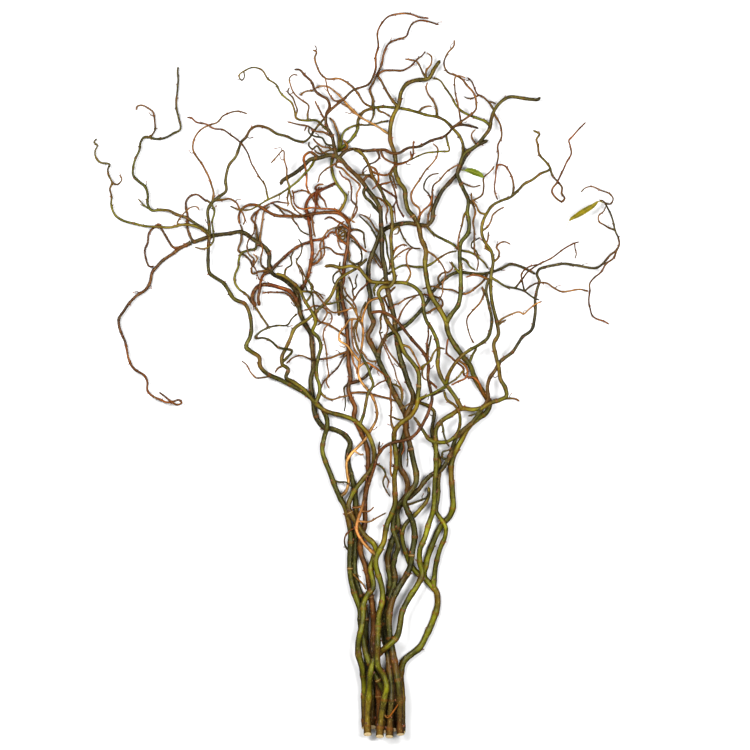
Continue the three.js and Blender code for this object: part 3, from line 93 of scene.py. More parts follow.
# The spacing of the places that are compared, how far apart in plan a pair may lie, and the
# space that is left clear between two shoots and under all of them.
SAMPLE = 5.0
SEARCH = 16.0
GAP = 0.8
FLOOR_CLEAR = 0.02
# The height of a middle line with nothing under it, the rise from one stem to the next, and
# how far a side shoot rises or bends down.
LOWEST = 6
SPREAD = 4.2
TWIG_SWING = 15
# Where along Y the bunch opens out, and how the far tips sink again.
MOUTH_START, MOUTH_END = -420.0, 60.0
TIPS_MIDDLE, TIPS_START, TIPS_WIDTH, TIPS_DROP = 120, 170, 330, 0.55
# What each round takes out of a bend, gives of the way back to a shoot's own height, and
# makes up of a missing clearance by lifting the upper shoot and pressing down the lower one.
SMOOTHING = 0.3
SINKING = 0.02
PUSH_UP = 0.6
PUSH_DOWN = 0.3
SETTLE_ROUNDS = 420
LIFT_ROUNDS = 160
FINE_ROUNDS = 220
# Places may touch this near a join, and this near each other along one shoot.
NEAR_JOIN = 26.0
LOOP_CLEAR = 34.0

# The lumps round a limb: the swing, the turns round it and the twist along each millimetre.
LUMPS = ((0.035, 3, 0.11), (0.03, 2, -0.07))
# The spacing of a smooth line's points, below and above a radius.
FINE_SPACING, COARSE_SPACING, COARSE_RADIUS = 2.2, 3.0, 2.8
# Painted shade: each limb's colour darkens and turns browner towards its flanks and underside,
# by how far each face looks up. How dark the flanks get, how fast each colour falls, how
# steeply, and how far a face has to look up to keep its full colour.
FLANK_SHADE = 0.07
FLANK_SHADE_WARMTH = (1.0, 1.4, 1.7)
FLANK_FALL = 2.8
FLANK_TOP = 1.06
# Painted highlight: a glossy coat lies only on faces that look up towards the lamps. How far
# a face has to look up for the coat to start, and to be full.
PAINTED_SHEEN_START, PAINTED_SHEEN_FULL = 0.3, 0.9
# How the bark lightens and darkens along a shoot: the swing, and the length in millimetres.
DRIFTS = ((0.28, 41.0), (0.32, 17.0), (0.28, 7.3))


def linear(red: int, green: int, blue: int) -> tuple[float, float, float]:
    """The linear colour of an 8-bit screen colour.

    Args:
        red: The red value, from 0 to 255.
        green: The green value.
        blue: The blue value.

    Returns:
        The three shares of light.
    """

    def one(value: int) -> float:
        """One value's share."""
        share = value / 255.0
        return share / 12.92 if share <= 0.04045 else ((share + 0.055) / 1.055) ** 2.4

    return one(red), one(green), one(blue)


Colour = tuple[float, float, float]


class Bark(Enum):
    """The kinds of bark and bare wood in the bunch, each with its colour."""

    OLIVE = "olive"
    DARK = "dark"
    RED = "red"
    BROWN = "brown"
    RUST = "rust"
    GOLD = "gold"
    PEEL = "peel"
    OCHRE = "ochre"
    MOSS = "moss"
    EMBER = "ember"
    UMBER = "umber"

    @property
    def young(self) -> np.ndarray:
        """The colour of the thin end of such a shoot."""
        return np.array(linear(*BARK_COLOURS[self][1]))

    @property
    def old(self) -> np.ndarray:
        """The colour of the thick end of such a shoot."""
        return np.array(linear(*BARK_COLOURS[self][0]))

    @property
    def turn(self) -> float:
        """The share of its length by which such a shoot has its young colour."""
        return 0.22 if self is Bark.PEEL else 1.0


# Each bark's colours at the thick and at the thin end of a shoot, as 8-bit screen colours.
BARK_COLOURS: dict[Bark, tuple[tuple[int, int, int], tuple[int, int, int]]] = {
    Bark.OLIVE: ((89, 91, 8), (84, 71, 12)),
    Bark.DARK: ((52, 54, 14), (52, 43, 16)),
    Bark.RED: ((82, 47, 13), (106, 54, 13)),
    Bark.BROWN: ((112, 71, 27), (116, 75, 29)),
    Bark.RUST: ((138, 70, 10), (120, 64, 12)),
    Bark.GOLD: ((200, 148, 80), (170, 116, 50)),
    Bark.PEEL: ((220, 150, 84), (70, 32, 8)),
    Bark.OCHRE: ((92, 70, 8), (84, 60, 10)),
    Bark.MOSS: ((66, 68, 8), (62, 54, 14)),
    Bark.EMBER: ((106, 44, 8), (90, 36, 8)),
    Bark.UMBER: ((54, 30, 12), (56, 32, 16)),
}

# Each stem: its name and its shoots, from the lowest stem in the pile to the top one.
# A shoot: name, parent, radius at its start and at its tip, bark, and its route in plan.
STEMS: list[list] = [
  ["stem_1", [
    ["main", "", 5, 2.3, "dark", [
      "23,-526 23,-490 20.8,-455 16.5,-430 12,-405 13,-380 13,-355 6,-332 0,-310 -4,-290 -4,-262",
      "-3,-240 -2,-215 -2,-190 -4,-168 -9,-148 -13,-130 -13,-114 -10,-102 -18,-89 -34,-80 -50,-76",
      "-59,-66 -64,-52 -65,-38 -68,-22 -69,-5 -66,10 -66,28 -67,45 -69,62 -77,76 -84,92 -87,108",
      "-90,124 -100,138 -114,147 -126,153 -132,168 -132,182 -137,192 -148,200 -160,208 -173,216",
      "-190,214 -210,211 -230,206 -249,200",
    ]],
    ["crook", "main", 2.1, 1, "red", [
      "-249,200 -262,193 -276,183 -292,173 -301,162 -306,156 -310,141 -317,129 -330,120 -341,109",
      "-349,97 -356,85 -356,75 -352,62 -347,52 -344,38 -342,26 -336,14 -326,6 -320,2 -314,-8",
      "-313,-22 -304,-31 -295,-35 -285,-39 -275,-38 -266,-36 -262,-40 -268,-43 -278,-38 -288,-30",
      "-296,-24",
    ]],
    ["noose", "crook", 1.4, 0.9, "red", [
      "-258,195 -275,193 -283,203 -292,219 -297,228 -305,222 -312,213 -314,200 -318,190 -316,177",
      "-310,164 -303,165",
    ]],
    ["riser", "main", 1.4, 1, "red", [
      "-246,202 -251,212 -255,226 -254,240 -256,252 -256,262 -248,271 -240,272 -233,267 -225,261",
    ]],
    ["drop", "main", 1.4, 0.8, "brown", ["-173,216 -174,202 -177,188 -168,180 -160,172 -157,164"]],
    ["long_loop", "main", 1.6, 1, "olive", [
      "-150,201 -152,191 -162,188 -173,183 -177,174 -178,164 -183,150 -182,138 -176,129 -166,122",
      "-159,112 -151,101 -142,88 -134,76 -131,70",
    ]],
    ["side_1", "main", 1.3, 0.8, "red", [
      "-149,201 -150,212 -152,226 -158,236 -150,246 -140,254 -130,259",
    ]],
    ["side_2", "main", 1.4, 0.9, "brown", ["-146,199 -144,215 -142,232 -139,247 -130,255"]],
    ["side_3", "main", 1.3, 0.7, "brown", [
      "-133,157 -145,157 -157,153 -158,162 -152,170 -149,175 -156,184",
    ]],
    ["side_4", "main", 1.2, 0.7, "brown", ["-134,158 -142,164 -144,178 -141,190 -145,205"]],
    ["rust_arc", "main", 3, 2.2, "ember", [
      "-87,104 -91,115 -102,127 -117,133 -132,137 -146,135 -155,126 -157,113 -151,103",
    ]],
    ["rust_twig", "main", 1.5, 2, "ember", ["-130,157 -140,152 -144,142 -145,130 -148,117 -146,104"]],
    ["red_bow", "main", 2, 1.4, "ember", [
      "-128,158 -119,168 -107,180 -94,190 -80,198 -66,203 -54,205 -44,208",
    ]],
    ["tall_red", "main", 2.6, 1.7, "ember", [
      "-90,124 -82,132 -75,146 -70,163 -67,185 -69,205 -70,222 -74,240 -77,254 -70,268 -56,278",
      "-42,284 -31,290",
    ]],
    ["tall_side", "tall_red", 1.2, 0.7, "brown", [
      "-69,165 -58,171 -54,180 -55,195 -50,208 -44,217 -32,222 -22,223",
    ]],
    ["tall_fork", "tall_red", 1.5, 0.9, "ember", ["-72,232 -66,240 -62,252 -63,264 -60,276 -56,284"]],
    ["fan_1", "side_1", 1.1, 0.7, "brown", ["-128,260 -120,261 -113,260 -100.5,258.6"]],
    ["drop_2", "tall_red", 1, 0.7, "brown", ["-57,276 -55.5,270 -49,262 -45.8,252"]],
    ["knuckle", "tall_red", 1.3, 1, "brown", ["-58,276 -62,281 -57,286 -49,287"]],
    ["knuckle_2", "tall_red", 1.2, 0.9, "rust", ["-59,275 -60.3,262 -59,256 -54,251"]],
    ["hollow_t", "side_1", 1.1, 0.8, "brown", [
      "-146,246 -152,237 -152.7,226.5 -154.3,215 -162.4,204 -164,191 -161.6,181.5 -154.3,175 -153.5,164",
    ]],
    ["hollow_2", "hollow_t", 1, 0.7, "rust", [
      "-154,176 -156,165 -152,160 -148.7,151 -145.5,144.5 -138.3,143",
    ]],
    ["curl_1", "red_bow", 1, 0.6, "brown", ["-43,206 -41,213.6 -33,215 -29.8,210.4 -26.6,196 -22.5,188"]],
    ["curl_2", "red_bow", 1, 0.7, "brown", ["-51,206 -50,196 -49,181.5 -54,175 -63.5,168.6"]],
    ["arc_3", "main", 1.2, 0.8, "red", [
      "-90,98 -95.7,112.4 -102,120.4 -110,125.2 -123,125.4 -134,125 -142.5,123.6",
    ]],
    ["link_2", "main", 1, 0.9, "brown", ["-171.5,217 -172.8,222 -175.5,228"]],
  ]],
  ["stem_2", [
    ["main", "", 5, 1.5, "red", [
      "33.5,-530 33.5,-500 30.6,-465 24.9,-435 23,-405 25,-380 24,-352 20,-325 16,-300 11,-281",
      "6,-265 5,-250 8,-235 12,-217 12,-196 13,-174 17,-152 17,-130 15,-110 10,-92 2,-76 -5,-62",
      "-3,-46 -9,-32 -13,-18 -10,-3 -12,15 -13,35 -14,55 -15,75 -18,95 -22,112 -23,130 -20,148",
      "-19,165 -17,180 -14,195 -13,210 -11,224 -17,236 -28,244 -45,245 -62,243 -80,240 -100,239",
      "-122,241 -137,248 -150,256 -163,256 -172,250 -177,239 -175,226",
    ]],
    ["stub", "main", 3.2, 3.4, "olive", ["-21,143 -27,136 -29,122 -28,105 -27,89"]],
    ["ladder", "main", 1.3, 0.9, "brown", ["-11,-26 0,-25 15,-25 30,-29 48,-34 66,-40"]],
    ["whisker", "main", 1.2, 0.7, "brown", ["-13,37 -26,33 -40,27 -58,25 -70,26 -82,30 -98,26 -106,18"]],
    ["thread", "main", 1.2, 0.8, "red", ["-14,38 -21,27 -29,12 -40,2 -50,-9 -54,-20"]],
    ["cross_1", "main", 1.3, 0.8, "brown", [
      "-15,58 -28,68 -43,77 -58,84 -61,94 -52,103 -45,96 -49,84 -60,75",
    ]],
    ["olive_arch", "main", 2.6, 1.6, "olive", [
      "-28,244 -20,256 -17,268 -24,280 -32,292 -38,308 -38,321 -31,335 -20,345 -8,355 0,368 2,384",
      "11,397 25,402 45,403 62,402 76,399 92,395 106,391 120,388 133,382 143,372 153,360 159,347",
      "158,330 153,316",
    ]],
    ["arch_t1", "olive_arch", 1.2, 0.8, "brown", [
      "25,402 10,410 0,425 -12,438 -25,445 -46,446 -56,455 -61,466 -63,478 -61,486 -67,489",
    ]],
    ["arch_t2", "olive_arch", 1.6, 0.8, "red", [
      "24,402 24,415 19,428 25,440 30,452 37,466 40,483 47,497 60,504 75,510 78,519 82,527 92,532",
      "104,531 123,526",
    ]],
    ["arch_t3", "olive_arch", 1.1, 0.8, "brown", ["92,395 98,401 106,404 113,404"]],
    ["arch_t4", "olive_arch", 1.3, 0.8, "brown", ["120,388 119,402 114,412 107,422 104,434 106,440"]],
    ["arch_t5", "olive_arch", 1.3, 0.8, "olive", ["-26,341 -18,368 -3,375 15,376 32,379 48,383"]],
    ["knot_1", "main", 1.5, 0.8, "rust", ["-12,219 -22,228 -32,233 -40,238 -50,234"]],
    ["knot_2", "main", 1.4, 0.9, "dark", ["-12,218 0,219 9,215 11,203 13,190"]],
    ["knot_3", "main", 1.7, 1, "red", ["-13,213 -3,204 7,192 16,185"]],
    ["knot_4", "main", 1.2, 0.7, "red", ["-14,230 -4,240 0,252 -8,262 -8,280 -12,292 -22,299 -27,308"]],
    ["knot_5", "main", 1.3, 0.8, "rust", ["-16,196 -25,205 -32,215 -28,226 -18,232"]],
    ["knot_6", "main", 1.1, 0.7, "brown", ["-17,182 -32,184 -42,192 -54,190 -62,178 -69,169"]],
    ["stub_b", "olive_arch", 1.9, 1.7, "rust", ["-26,336 -18,339 -14,343 -17,349 -20.5,354"]],
    ["stub_a", "olive_arch", 1.6, 1, "brown", ["-29,341 -27,352 -28,362.4 -32,372 -36.2,382 -41.8,387.4"]],
    ["fan_2", "main", 1.2, 0.8, "brown", ["-91,242.5 -100.5,246 -115,251.5 -127,258.6"]],
    ["fan_3", "main", 1, 0.7, "dark", ["-106,243 -116.6,250.6 -126,258"]],
    ["ribbon", "knot_4", 1.5, 0.8, "rust", [
      "-11,234 -23,244 -33,249 -44,250.6 -57,250.6 -66.7,251.4 -79.6,249.8 -90,254 -94,259 -95.7,273",
      "-97.5,280",
    ]],
    ["ribbon_t", "ribbon", 1, 0.7, "brown", ["-95.7,274 -86,277 -76.4,277 -71.6,271.5"]],
    ["ladder_2", "main", 1, 0.7, "dark", ["-98,240 -94,231 -89,225 -86,220 -78,213.6 -71,211"]],
    ["slip", "main", 1.2, 0.8, "brown", ["-69,240 -66.7,230 -65,218.5 -62,207"]],
    ["burr_1", "knot_1", 1.1, 0.8, "ochre", ["-17,224 -24,221 -28,215 -23,209 -18,212 -21,218 -27,219"]],
    ["burr_2", "burr_1", 1.1, 0.8, "ochre", ["-18,216 -24,213 -26,207 -20,204 -17,209"]],
    ["burr_3", "burr_2", 1, 0.7, "ochre", ["-19,207 -16,214 -22,222 -28,224 -31,218"]],
    ["cradle", "main", 1.3, 0.9, "dark", [
      "-13,192 -11.6,183 -10.8,172 -2,168 6,172 7.7,181.5 5.3,189.5 -2,198 -9,204",
    ]],
    ["long_4", "cross_1", 1.2, 0.8, "brown", [
      "-44,97 -39.4,93 -38.6,82 -47.5,72 -50.7,59.4 -47.5,46.5 -45,33.6 -45,17.6 -42.6,1.5 -45.8,-8",
      "-41,-19.4",
    ]],
    ["cross_8", "main", 2, 1.6, "umber", ["-8,-12 4.5,-6.5 15,1.5 20,10 24,18"]],
    ["lash_4", "olive_arch", 1.4, 1, "dark", ["25,400 25,396 22.3,384.7 17,377"]],
    ["lash_5", "olive_arch", 1.2, 0.8, "brown", ["31,398 33,396.8 40.4,394.4 50,388"]],
    ["hang_1", "main", 1, 0.7, "dark", ["-15,-10 -19,-17 -17.5,-31.7 -17.5,-45.6 -19.6,-54"]],
  ]],
  ["stem_3", [
    ["main", "", 5, 2.4, "dark", [
      "54.5,-530 54.5,-495 54,-462 50.6,-435 45,-412 40,-388 40,-362 43,-342 48,-325 50,-305",
      "47,-288 46,-272 50,-255 56,-238 61,-222 60,-205 66,-190 74,-178 76,-163 72,-149 65,-138",
      "63,-122 66,-104 71,-88 74,-72 72,-58 66,-45 58,-30 50,-14 43,2 36,16 30,30 22,46 16,60 22,72",
      "25,80 20,92 18,108 20,120 17,136 17,152 18,168 24,186 30,200 35,213 46,222 60,227 76,229",
      "92,226 104,225 112,233 114,248 120,262 128,278 138,290 150,303 157,318 165,333 180,345",
      "197,353",
    ]],
    ["black_bough", "main", 2.6, 1.4, "dark", [
      "31,27 35,43 43,58 56,66 70,73 82,84 95,97 105,111 112,124 124,137 136,149 150,155 170,154",
      "190,153 204,156 218,162 230,167 245,164 258,158 268,152",
    ]],
    ["bough_t1", "black_bough", 1.3, 0.8, "brown", [
      "196,155 188,141 178,132 168,125 155,123 144,128 130,130 115,134 97,130",
    ]],
    ["bough_t2", "black_bough", 1.2, 0.7, "brown", ["124,137 122,147 128,154 137,156 143,163 138,172"]],
    ["bough_t3", "black_bough", 1.3, 0.8, "brown", [
      "96,98 104,94 116,101 128,106 127,114 117,119 104,121 90,121 75,116 60,108 45,103",
    ]],
    ["hook", "main", 1.2, 0.8, "brown", [
      "106,226 107,240 111,253 113,268 115,286 123,293 132,303 144,312 151,316",
    ]],
    ["hook_t", "hook", 1, 0.7, "dark", ["112,260 108,272 100,281 102,291 111,300 123,303"]],
    ["kt_1", "main", 1.1, 0.7, "dark", ["60,227 68,211 76,198 84,191 96,191"]],
    ["kt_2", "main", 1.6, 0.9, "olive", [
      "104,225 114,213 129,205 142,198 153,189 168,186 182,177 192,168 197,160",
    ]],
    ["kt_3", "main", 1.2, 0.7, "brown", ["180,345 175,352 172,362 178,370"]],
    ["kt_4", "main", 1.1, 0.8, "red", ["71,-142 62,-138 50,-134"]],
    ["kt_5", "main", 1.5, 0.8, "red", ["24,186 32,174 41,160 50,151"]],
    ["kt_6", "main", 1.1, 0.7, "brown", ["35,213 27,222 20,232 10,240 3,242"]],
    ["thread_2", "main", 1.1, 0.7, "dark", ["25.6,206 21.4,221.7 12.5,231.3 2.1,241"]],
    ["twist_2", "kt_2", 1, 0.7, "dark", ["185,181 178,188 171.6,193 171.6,199 178,204 185,207.5"]],
    ["stray_3", "main", 1.3, 0.9, "olive", ["43,212 44.7,196 45.5,183 48.7,170 49,158"]],
    ["stray_5", "main", 1.1, 0.8, "brown", ["24,180 30,168.6 37,160"]],
    ["loop_6", "main", 1.5, 1.1, "olive", ["72,-40 68,-27.5 62.6,-16.4 55.6,-13 47,-12"]],
  ]],
  ["stem_4", [
    ["main", "", 5.1, 2.4, "olive", [
      "66.5,-533 67.5,-500 66.9,-470 66,-445 70.7,-427 82,-416 93,-407 105,-387 115,-362 121,-338",
      "119,-323 110,-312 101,-302 104,-278 112,-255 118,-240 128,-222 139,-210 144,-198 143,-175",
      "141,-150 142,-130 147,-113 157,-95 168,-76 182,-63 195,-52 199,-41 191,-27 181,-12 175,0",
      "170,15 158,30 146,46 137,64 133,82 122,102 112,119 105,140 102,165 103,188 96,205 93,222",
      "86,236 76,249 73,264 72,278 62,291 57,306 58,320 56,335 50,351 50,370 55,390 62,405 66,425",
      "75,437 90,443 107,445 116,459 125,473",
    ]],
    ["left_fork", "main", 3.6, 2.2, "olive", [
      "102,-303 91,-295 81,-284 74,-268 69,-250 68,-236 73,-222 82,-212 93,-201 104,-188 108,-175",
      "107,-165",
    ]],
    ["right_fork", "main", 3.4, 2, "olive", [
      "114,-317 116,-300 118,-282 124,-260 132,-240 133,-228 127,-216 119,-203 121,-184 122,-160",
      "124,-140 122,-120 115,-100 112,-82 115,-66 116,-54 108,-46 96,-41 84,-37",
    ]],
    ["spear", "main", 3.2, 1.9, "moss", [
      "134,80 142,93 151,106 155,122 155,150 154,178 156,200 166,214 168,228 165,245 166,262",
      "160,278 155,290 150,302 154,317 161,332 175,342 190,358 199,370 201,385 205,397 217,411",
      "228,417 246,416 262,414 271,414 275,418",
    ]],
    ["spear_t1", "spear", 1.6, 0.9, "olive", [
      "200,374 192,381 180,385 168,390 156,397 147,406 140,419 132,431 123,442 112,445",
    ]],
    ["spear_t2", "spear", 1.2, 0.7, "red", [
      "203,394 208,387 215,375 216,358 211,346 212,330 209,316 208,300 206,286 208,272 211,263",
    ]],
    ["spear_t3", "spear", 1.2, 0.7, "red", ["205,398 198,409 190,416 180,422 176,432 172,440 165,447"]],
    ["spear_t4", "spear", 1.2, 0.7, "brown", ["165,248 160,240 157,225 152,210 151,198 152,186"]],
    ["spear_t5", "spear", 1.2, 0.7, "brown", [
      "165,266 172,258 177,245 173,230 176,215 175,200 176,186 181,172 179,156",
    ]],
    ["spear_t6", "spear", 1.1, 0.7, "brown", ["166,256 174,262 187,271 190,285 190,297 198,305 206,315"]],
    ["spear_t7", "spear", 1.3, 0.8, "olive", ["155,152 150,158 146,163 141,172"]],
    ["crown_t1", "main", 1.6, 0.8, "red", [
      "60,403 52,414 43,428 37,441 32,450 40,457 52,458 67,457 80,464 89,473 98,480 103,487",
    ]],
    ["crown_t2", "main", 1.2, 0.7, "brown", ["104,446 96,459 88,471 80,473 71,474"]],
    ["crown_t3", "main", 1.1, 0.7, "brown", ["103,446 104,456 111,467 111,478 104,484"]],
    ["tan_t1", "main", 1.2, 0.7, "gold", [
      "50,361 36,370 20,379 5,388 -8,400 -20,413 -31,424 -45,434 -58,433 -68,428 -76,427 -86,420",
    ]],
    ["coil_t1", "main", 1.6, 0.9, "rust", [
      "197,-38 187,-22 180,-8 174,-2 166,-1 160,2 159,11 150,20 141,28 134,33 134,45 136,56",
    ]],
    ["mid_t1", "main", 1.4, 0.8, "olive", ["102,163 112,168 122,176 135,183 150,187"]],
    ["mid_t2", "main", 1.5, 0.8, "olive", ["102,163 86,163 70,165 57,160 46,152 37,144 30,134"]],
    ["mid_t3", "main", 1.1, 0.6, "brown", ["103,188 118,177 128,164 132,150 128,136 127,122 122,110"]],
    ["hair_1", "main", 1.3, 0.7, "brown", [
      "92,226 94,240 93,250 84,258 81,268 86,282 94,294 102,306 112,317 120,330 121,340 113,348",
    ]],
    ["hair_2", "main", 1.4, 0.7, "rust", ["90,230 99,247 109,257 112,268 114,285"]],
    ["hair_3", "main", 1.2, 0.7, "red", [
      "58,310 49,300 52,290 57,275 58,260 52,252 44,258 38,272 30,285",
    ]],
    ["sickle", "spear", 1.4, 0.9, "olive", ["157,177 162.8,172 168.4,164 178,157.4"]],
    ["under_t", "spear", 0.8, 0.6, "brown", ["158,293 163.6,286 173,282.7 185,286"]],
    ["rung_2", "hair_3", 1.3, 0.9, "rust", ["52,301 53,298 56,287.6 59.5,279"]],
    ["stray_2", "hair_3", 1, 0.7, "rust", ["56,254 56.7,240 58,229"]],
    ["lash_1", "tan_t1", 1.1, 0.7, "brown", ["0,389 -7,396 -14,402.8 -24,408.5"]],
    ["lash_6", "spear_t3", 0.9, 0.6, "dark", ["182,420 177,417.4 164.3,416 160.2,418.8"]],
    ["lash_7", "spear_t3", 1.1, 0.8, "brown", ["199,411 202,409.7 208,406.5"]],
    ["wedge", "main", 1.6, 1.3, "olive", ["168,19 170,24 174,33 179.5,42"]],
  ]],
  ["stem_5", [
    ["main", "", 5, 1.2, "moss", [
      "44,-531 44,-507 45,-482 35.8,-462 24.9,-441 14,-416 9,-391 5,-368 4,-348 -1,-332 -6,-316",
      "-10,-300 -11,-282 -10,-262 -9,-240 -13,-216 -18,-196 -25,-182 -33,-165 -40,-146 -47,-128",
      "-52,-110 -49,-92 -44,-74 -47,-58 -56,-44 -66,-34 -80,-24 -98,-14 -118,-4 -136,5 -145,15",
      "-146,28 -158,37 -165,43 -160,58 -158,75 -160,92 -168,108 -183,115 -192,128 -201,140 -211,147",
      "-219,153 -223,170 -222,190 -220,212 -222,232 -223,247 -216,260 -204,270 -196,276 -196,292",
      "-194,306 -191,316 -181,328 -176,341 -173,350 -167,356 -159,368 -148,374 -134,371 -120,362",
      "-105,359 -92,352 -79,350 -72,355 -66,364 -57,375 -48,386",
    ]],
    ["west_bough", "main", 2.1, 1, "moss", [
      "-220,214 -232,222 -245,230 -258,238 -270,242 -280,247 -294,248 -308,248 -313,258 -313,270",
      "-318,284 -326,291 -335,302 -335,313 -332,324 -326,338 -324,350 -319,357 -302,355 -287,357",
      "-275,363 -265,369 -267,385 -270,400 -271,413 -269,427 -268,442 -269,456 -268,464",
    ]],
    ["west_t1", "west_bough", 0.9, 0.6, "olive", ["-306,248 -318,255 -328,266"]],
    ["west_t2", "west_bough", 1.1, 0.7, "brown", [
      "-319,357 -310,358 -304,366 -303,381 -306,396 -313,401 -324,406 -330,404 -331,398",
    ]],
    ["south_bough", "main", 1.7, 0.9, "olive", [
      "-220,209 -229,218 -246,225 -262,226 -280,222 -300,223 -325,226 -350,233 -361,240 -368,256",
      "-367,268 -370,281 -367,289 -371,300 -373,310 -371,316 -385,320 -391,328 -392,338 -389,345",
      "-394,350 -389,356",
    ]],
    ["south_t1", "south_bough", 0.9, 0.6, "brown", ["-367,288 -357,287 -352,294 -356,301"]],
    ["south_t2", "south_bough", 0.9, 0.6, "brown", [
      "-262,226 -268,228 -264,236 -257,245 -248,252 -239,252 -235,247",
    ]],
    ["balloon", "main", 1.3, 0.7, "brown", [
      "-216,260 -214,272 -218,287 -223,302 -231,315 -239,327 -245,340 -244,352 -239,361 -231,369",
      "-220,375 -207,379 -200,388 -190,393 -177,395 -163,391",
    ]],
    ["fall", "main", 1.2, 0.7, "olive", [
      "-217,257 -213,246 -216,230 -215,215 -214,201 -221,193 -231,190 -243,193",
    ]],
    ["swag", "main", 1.2, 0.8, "brown", [
      "-213,262 -201,263 -190,265 -180,259 -176,250 -170,242 -167,233 -170,225",
    ]],
    ["gold", "main", 1.9, 1.2, "gold", [
      "-24,-181 -16,-172 -13,-160 -15,-143 -15,-128 -9,-117 2,-105 13,-93 22,-79 29,-64 29,-47",
      "24,-32 16,-21 7,-9 2,4 3,18 6,34 8,52 9,68 8,82 11,97 17,110 27,115 40,117 50,127 58,134",
    ]],
    ["gold_2", "gold", 1.6, 1, "gold", ["4,22 -6,34 -16,46 -26,54 -26,64 -18,74 -10,84 2,84 10,72"]],
    ["gold_3", "gold", 1.4, 0.9, "ochre", ["9,78 0,92 -8,106 -20,120 -24,134 -22,148 -26,160 -25,172"]],
    ["tan_loop", "gold", 1.2, 0.7, "rust", ["4,14 14,20 24,15 36,6 44,-4 34,-10 24,-18"]],
    ["nick", "main", 1, 0.7, "dark", ["-33,-155 -26,-159 -16,-159 -7,-166"]],
    ["bow_t", "main", 1, 0.7, "red", ["-11,-264 -18,-252 -18,-240 -12,-232 -3,-228"]],
    ["spur", "main", 1.1, 0.7, "brown", ["-11,-292 -1,-302 8,-310 14,-320"]],
    ["tail", "main", 0.9, 0.6, "brown", ["-128,1 -141,-2 -151,-3 -158,4 -165,17 -173,23"]],
    ["loop_5", "gold_3", 1.1, 0.8, "dark", ["-26,158 -35.4,149.4 -34.6,139.7 -29.8,136.5 -24,134"]],
    ["fork_6", "gold_3", 1.9, 1.3, "ember", ["3,93 -2,104.4 -6,112.4 -2.5,118 3,126 12.5,135 17,141"]],
    ["fork_7", "fork_6", 1.4, 0.9, "ochre", ["-6,112 -12,119 -18,127 -21,136"]],
    ["fork_8", "fork_6", 1, 0.7, "dark", ["-4,116 -6,124 -6,131.7 -10,143 -14,149"]],
    ["fork_9", "fork_8", 1, 0.7, "dark", ["-6,128 -1,133.3 -2,143 1,153"]],
    ["slate", "gold_2", 1.3, 0.9, "brown", ["-7,88 -8,72 -6.5,55 -3,38 3,31"]],
    ["ember", "gold_2", 1.4, 0.9, "rust", ["-8,38 -7.5,30.4 -5,19 -0.3,11 0,2"]],
    ["spit_2", "gold", 1.1, 0.7, "brown", ["8,37 10,33 15,25.6 24,22 29,23 27,17"]],
    ["stray_7", "gold", 1.1, 0.8, "brown", ["40,117 44.7,106 48,95"]],
    ["nick_4", "gold", 0.9, 0.6, "dark", ["-6,-110 -1,-114 5.5,-118 11,-117.4"]],
    ["link_1", "fall", 1.1, 1, "brown", ["-215,257.5 -220.5,259.7 -227,264"]],
  ]],
  ["stem_6", [
    ["main", "", 5, 1.7, "olive", [
      "13,-526 11,-490 10.8,-456 7.6,-433 2,-416 2,-398 7,-378 9,-358 10,-339 16,-327 24,-317",
      "23,-302 20,-289 24,-275 29,-262 25,-251 16,-243 7,-232 1,-222 -8,-209 -13,-196 -9,-182",
      "-1,-168 11,-152 22,-138 27,-121 24,-104 18,-90 8,-76 -3,-66 -18,-60 -36,-56 -50,-50 -64,-38",
      "-80,-20 -94,-9 -106,-2 -103,10 -112,18 -112,28 -106,42 -99,57 -93,71 -83,79 -72,86 -61,96",
      "-50,107 -40,118 -33,131 -28,143 -18,151 -5,158 7,167 16,176",
    ]],
    ["twin", "main", 3, 2, "olive", [
      "-61,-40 -56,-26 -56,-14 -60,-2 -60,14 -57,30 -54,45 -58,58 -66,67 -62,80 -66,93 -73,105",
      "-80,117 -86,129 -98,141 -110,150 -122,153",
    ]],
    ["zigzag", "main", 1.5, 0.9, "dark", [
      "-110,20 -104,27 -97,38 -106,40 -117,43 -128,52 -140,57 -151,57 -145,65 -133,72 -118,75",
      "-103,77 -98,84 -88,93",
    ]],
    ["arm", "main", 2, 1.1, "moss", [
      "5,-72 10,-58 13,-42 17,-26 24,-14 20,0 17,12 8,28 1,42 -3,58 -4,74 4,86 8,100 14,112",
    ]],
    ["drape", "twin", 1.3, 0.8, "brown", ["-55,-22 -50,-30 -38,-35 -24,-32 -12,-29"]],
    ["squig", "main", 1.2, 0.8, "dark", ["28,-130 38,-138 43,-147 39,-158 43,-171 50,-181"]],
    ["squig_t", "squig", 0.8, 0.6, "red", ["43,-148 47,-158 45,-168"]],
    ["twin_t1", "twin", 1.2, 0.7, "brown", [
      "-84,126 -74,126 -62,124 -54,114 -47,104 -38,96 -20,97 -5,102",
    ]],
    ["twin_t2", "twin", 1.1, 0.7, "dark", [
      "-76,110 -70,118 -68,130 -72,142 -80,152 -84,162 -90,170 -84,182 -83,196 -88,206",
    ]],
    ["elbow", "main", 1.2, 0.8, "dark", ["-50,107 -38,108 -26,112 -14,120"]],
    ["dot", "main", 1.1, 0.7, "red", ["-109,16 -118,12 -123,4"]],
    ["plumb", "twin", 1.1, 0.8, "dark", ["-107,150 -105.3,160.6 -98,166.2 -98.9,178.3 -94,186.5"]],
    ["twin_3", "twin_t2", 1.2, 0.9, "dark", [
      "-92,169 -86,159 -81,148 -79.6,139.7 -75.6,131.7 -73,125 -66,123",
    ]],
    ["wisp_1", "twin_t2", 1, 0.7, "brown", ["-70,143 -66,135 -65,128.5 -57,123.6 -49,114"]],
    ["wisp_2", "main", 1.1, 0.8, "dark", ["-64,99 -65,111 -66,120 -67,125"]],
    ["wisp_3", "main", 0.9, 0.7, "brown", ["-56,107 -65,104.4 -73,99 -80,98"]],
    ["amber", "arm", 1.1, 0.8, "ochre", ["4,88 0,78.6 -1,68 1,60 4,49.7"]],
  ]],
  ["stem_7", [
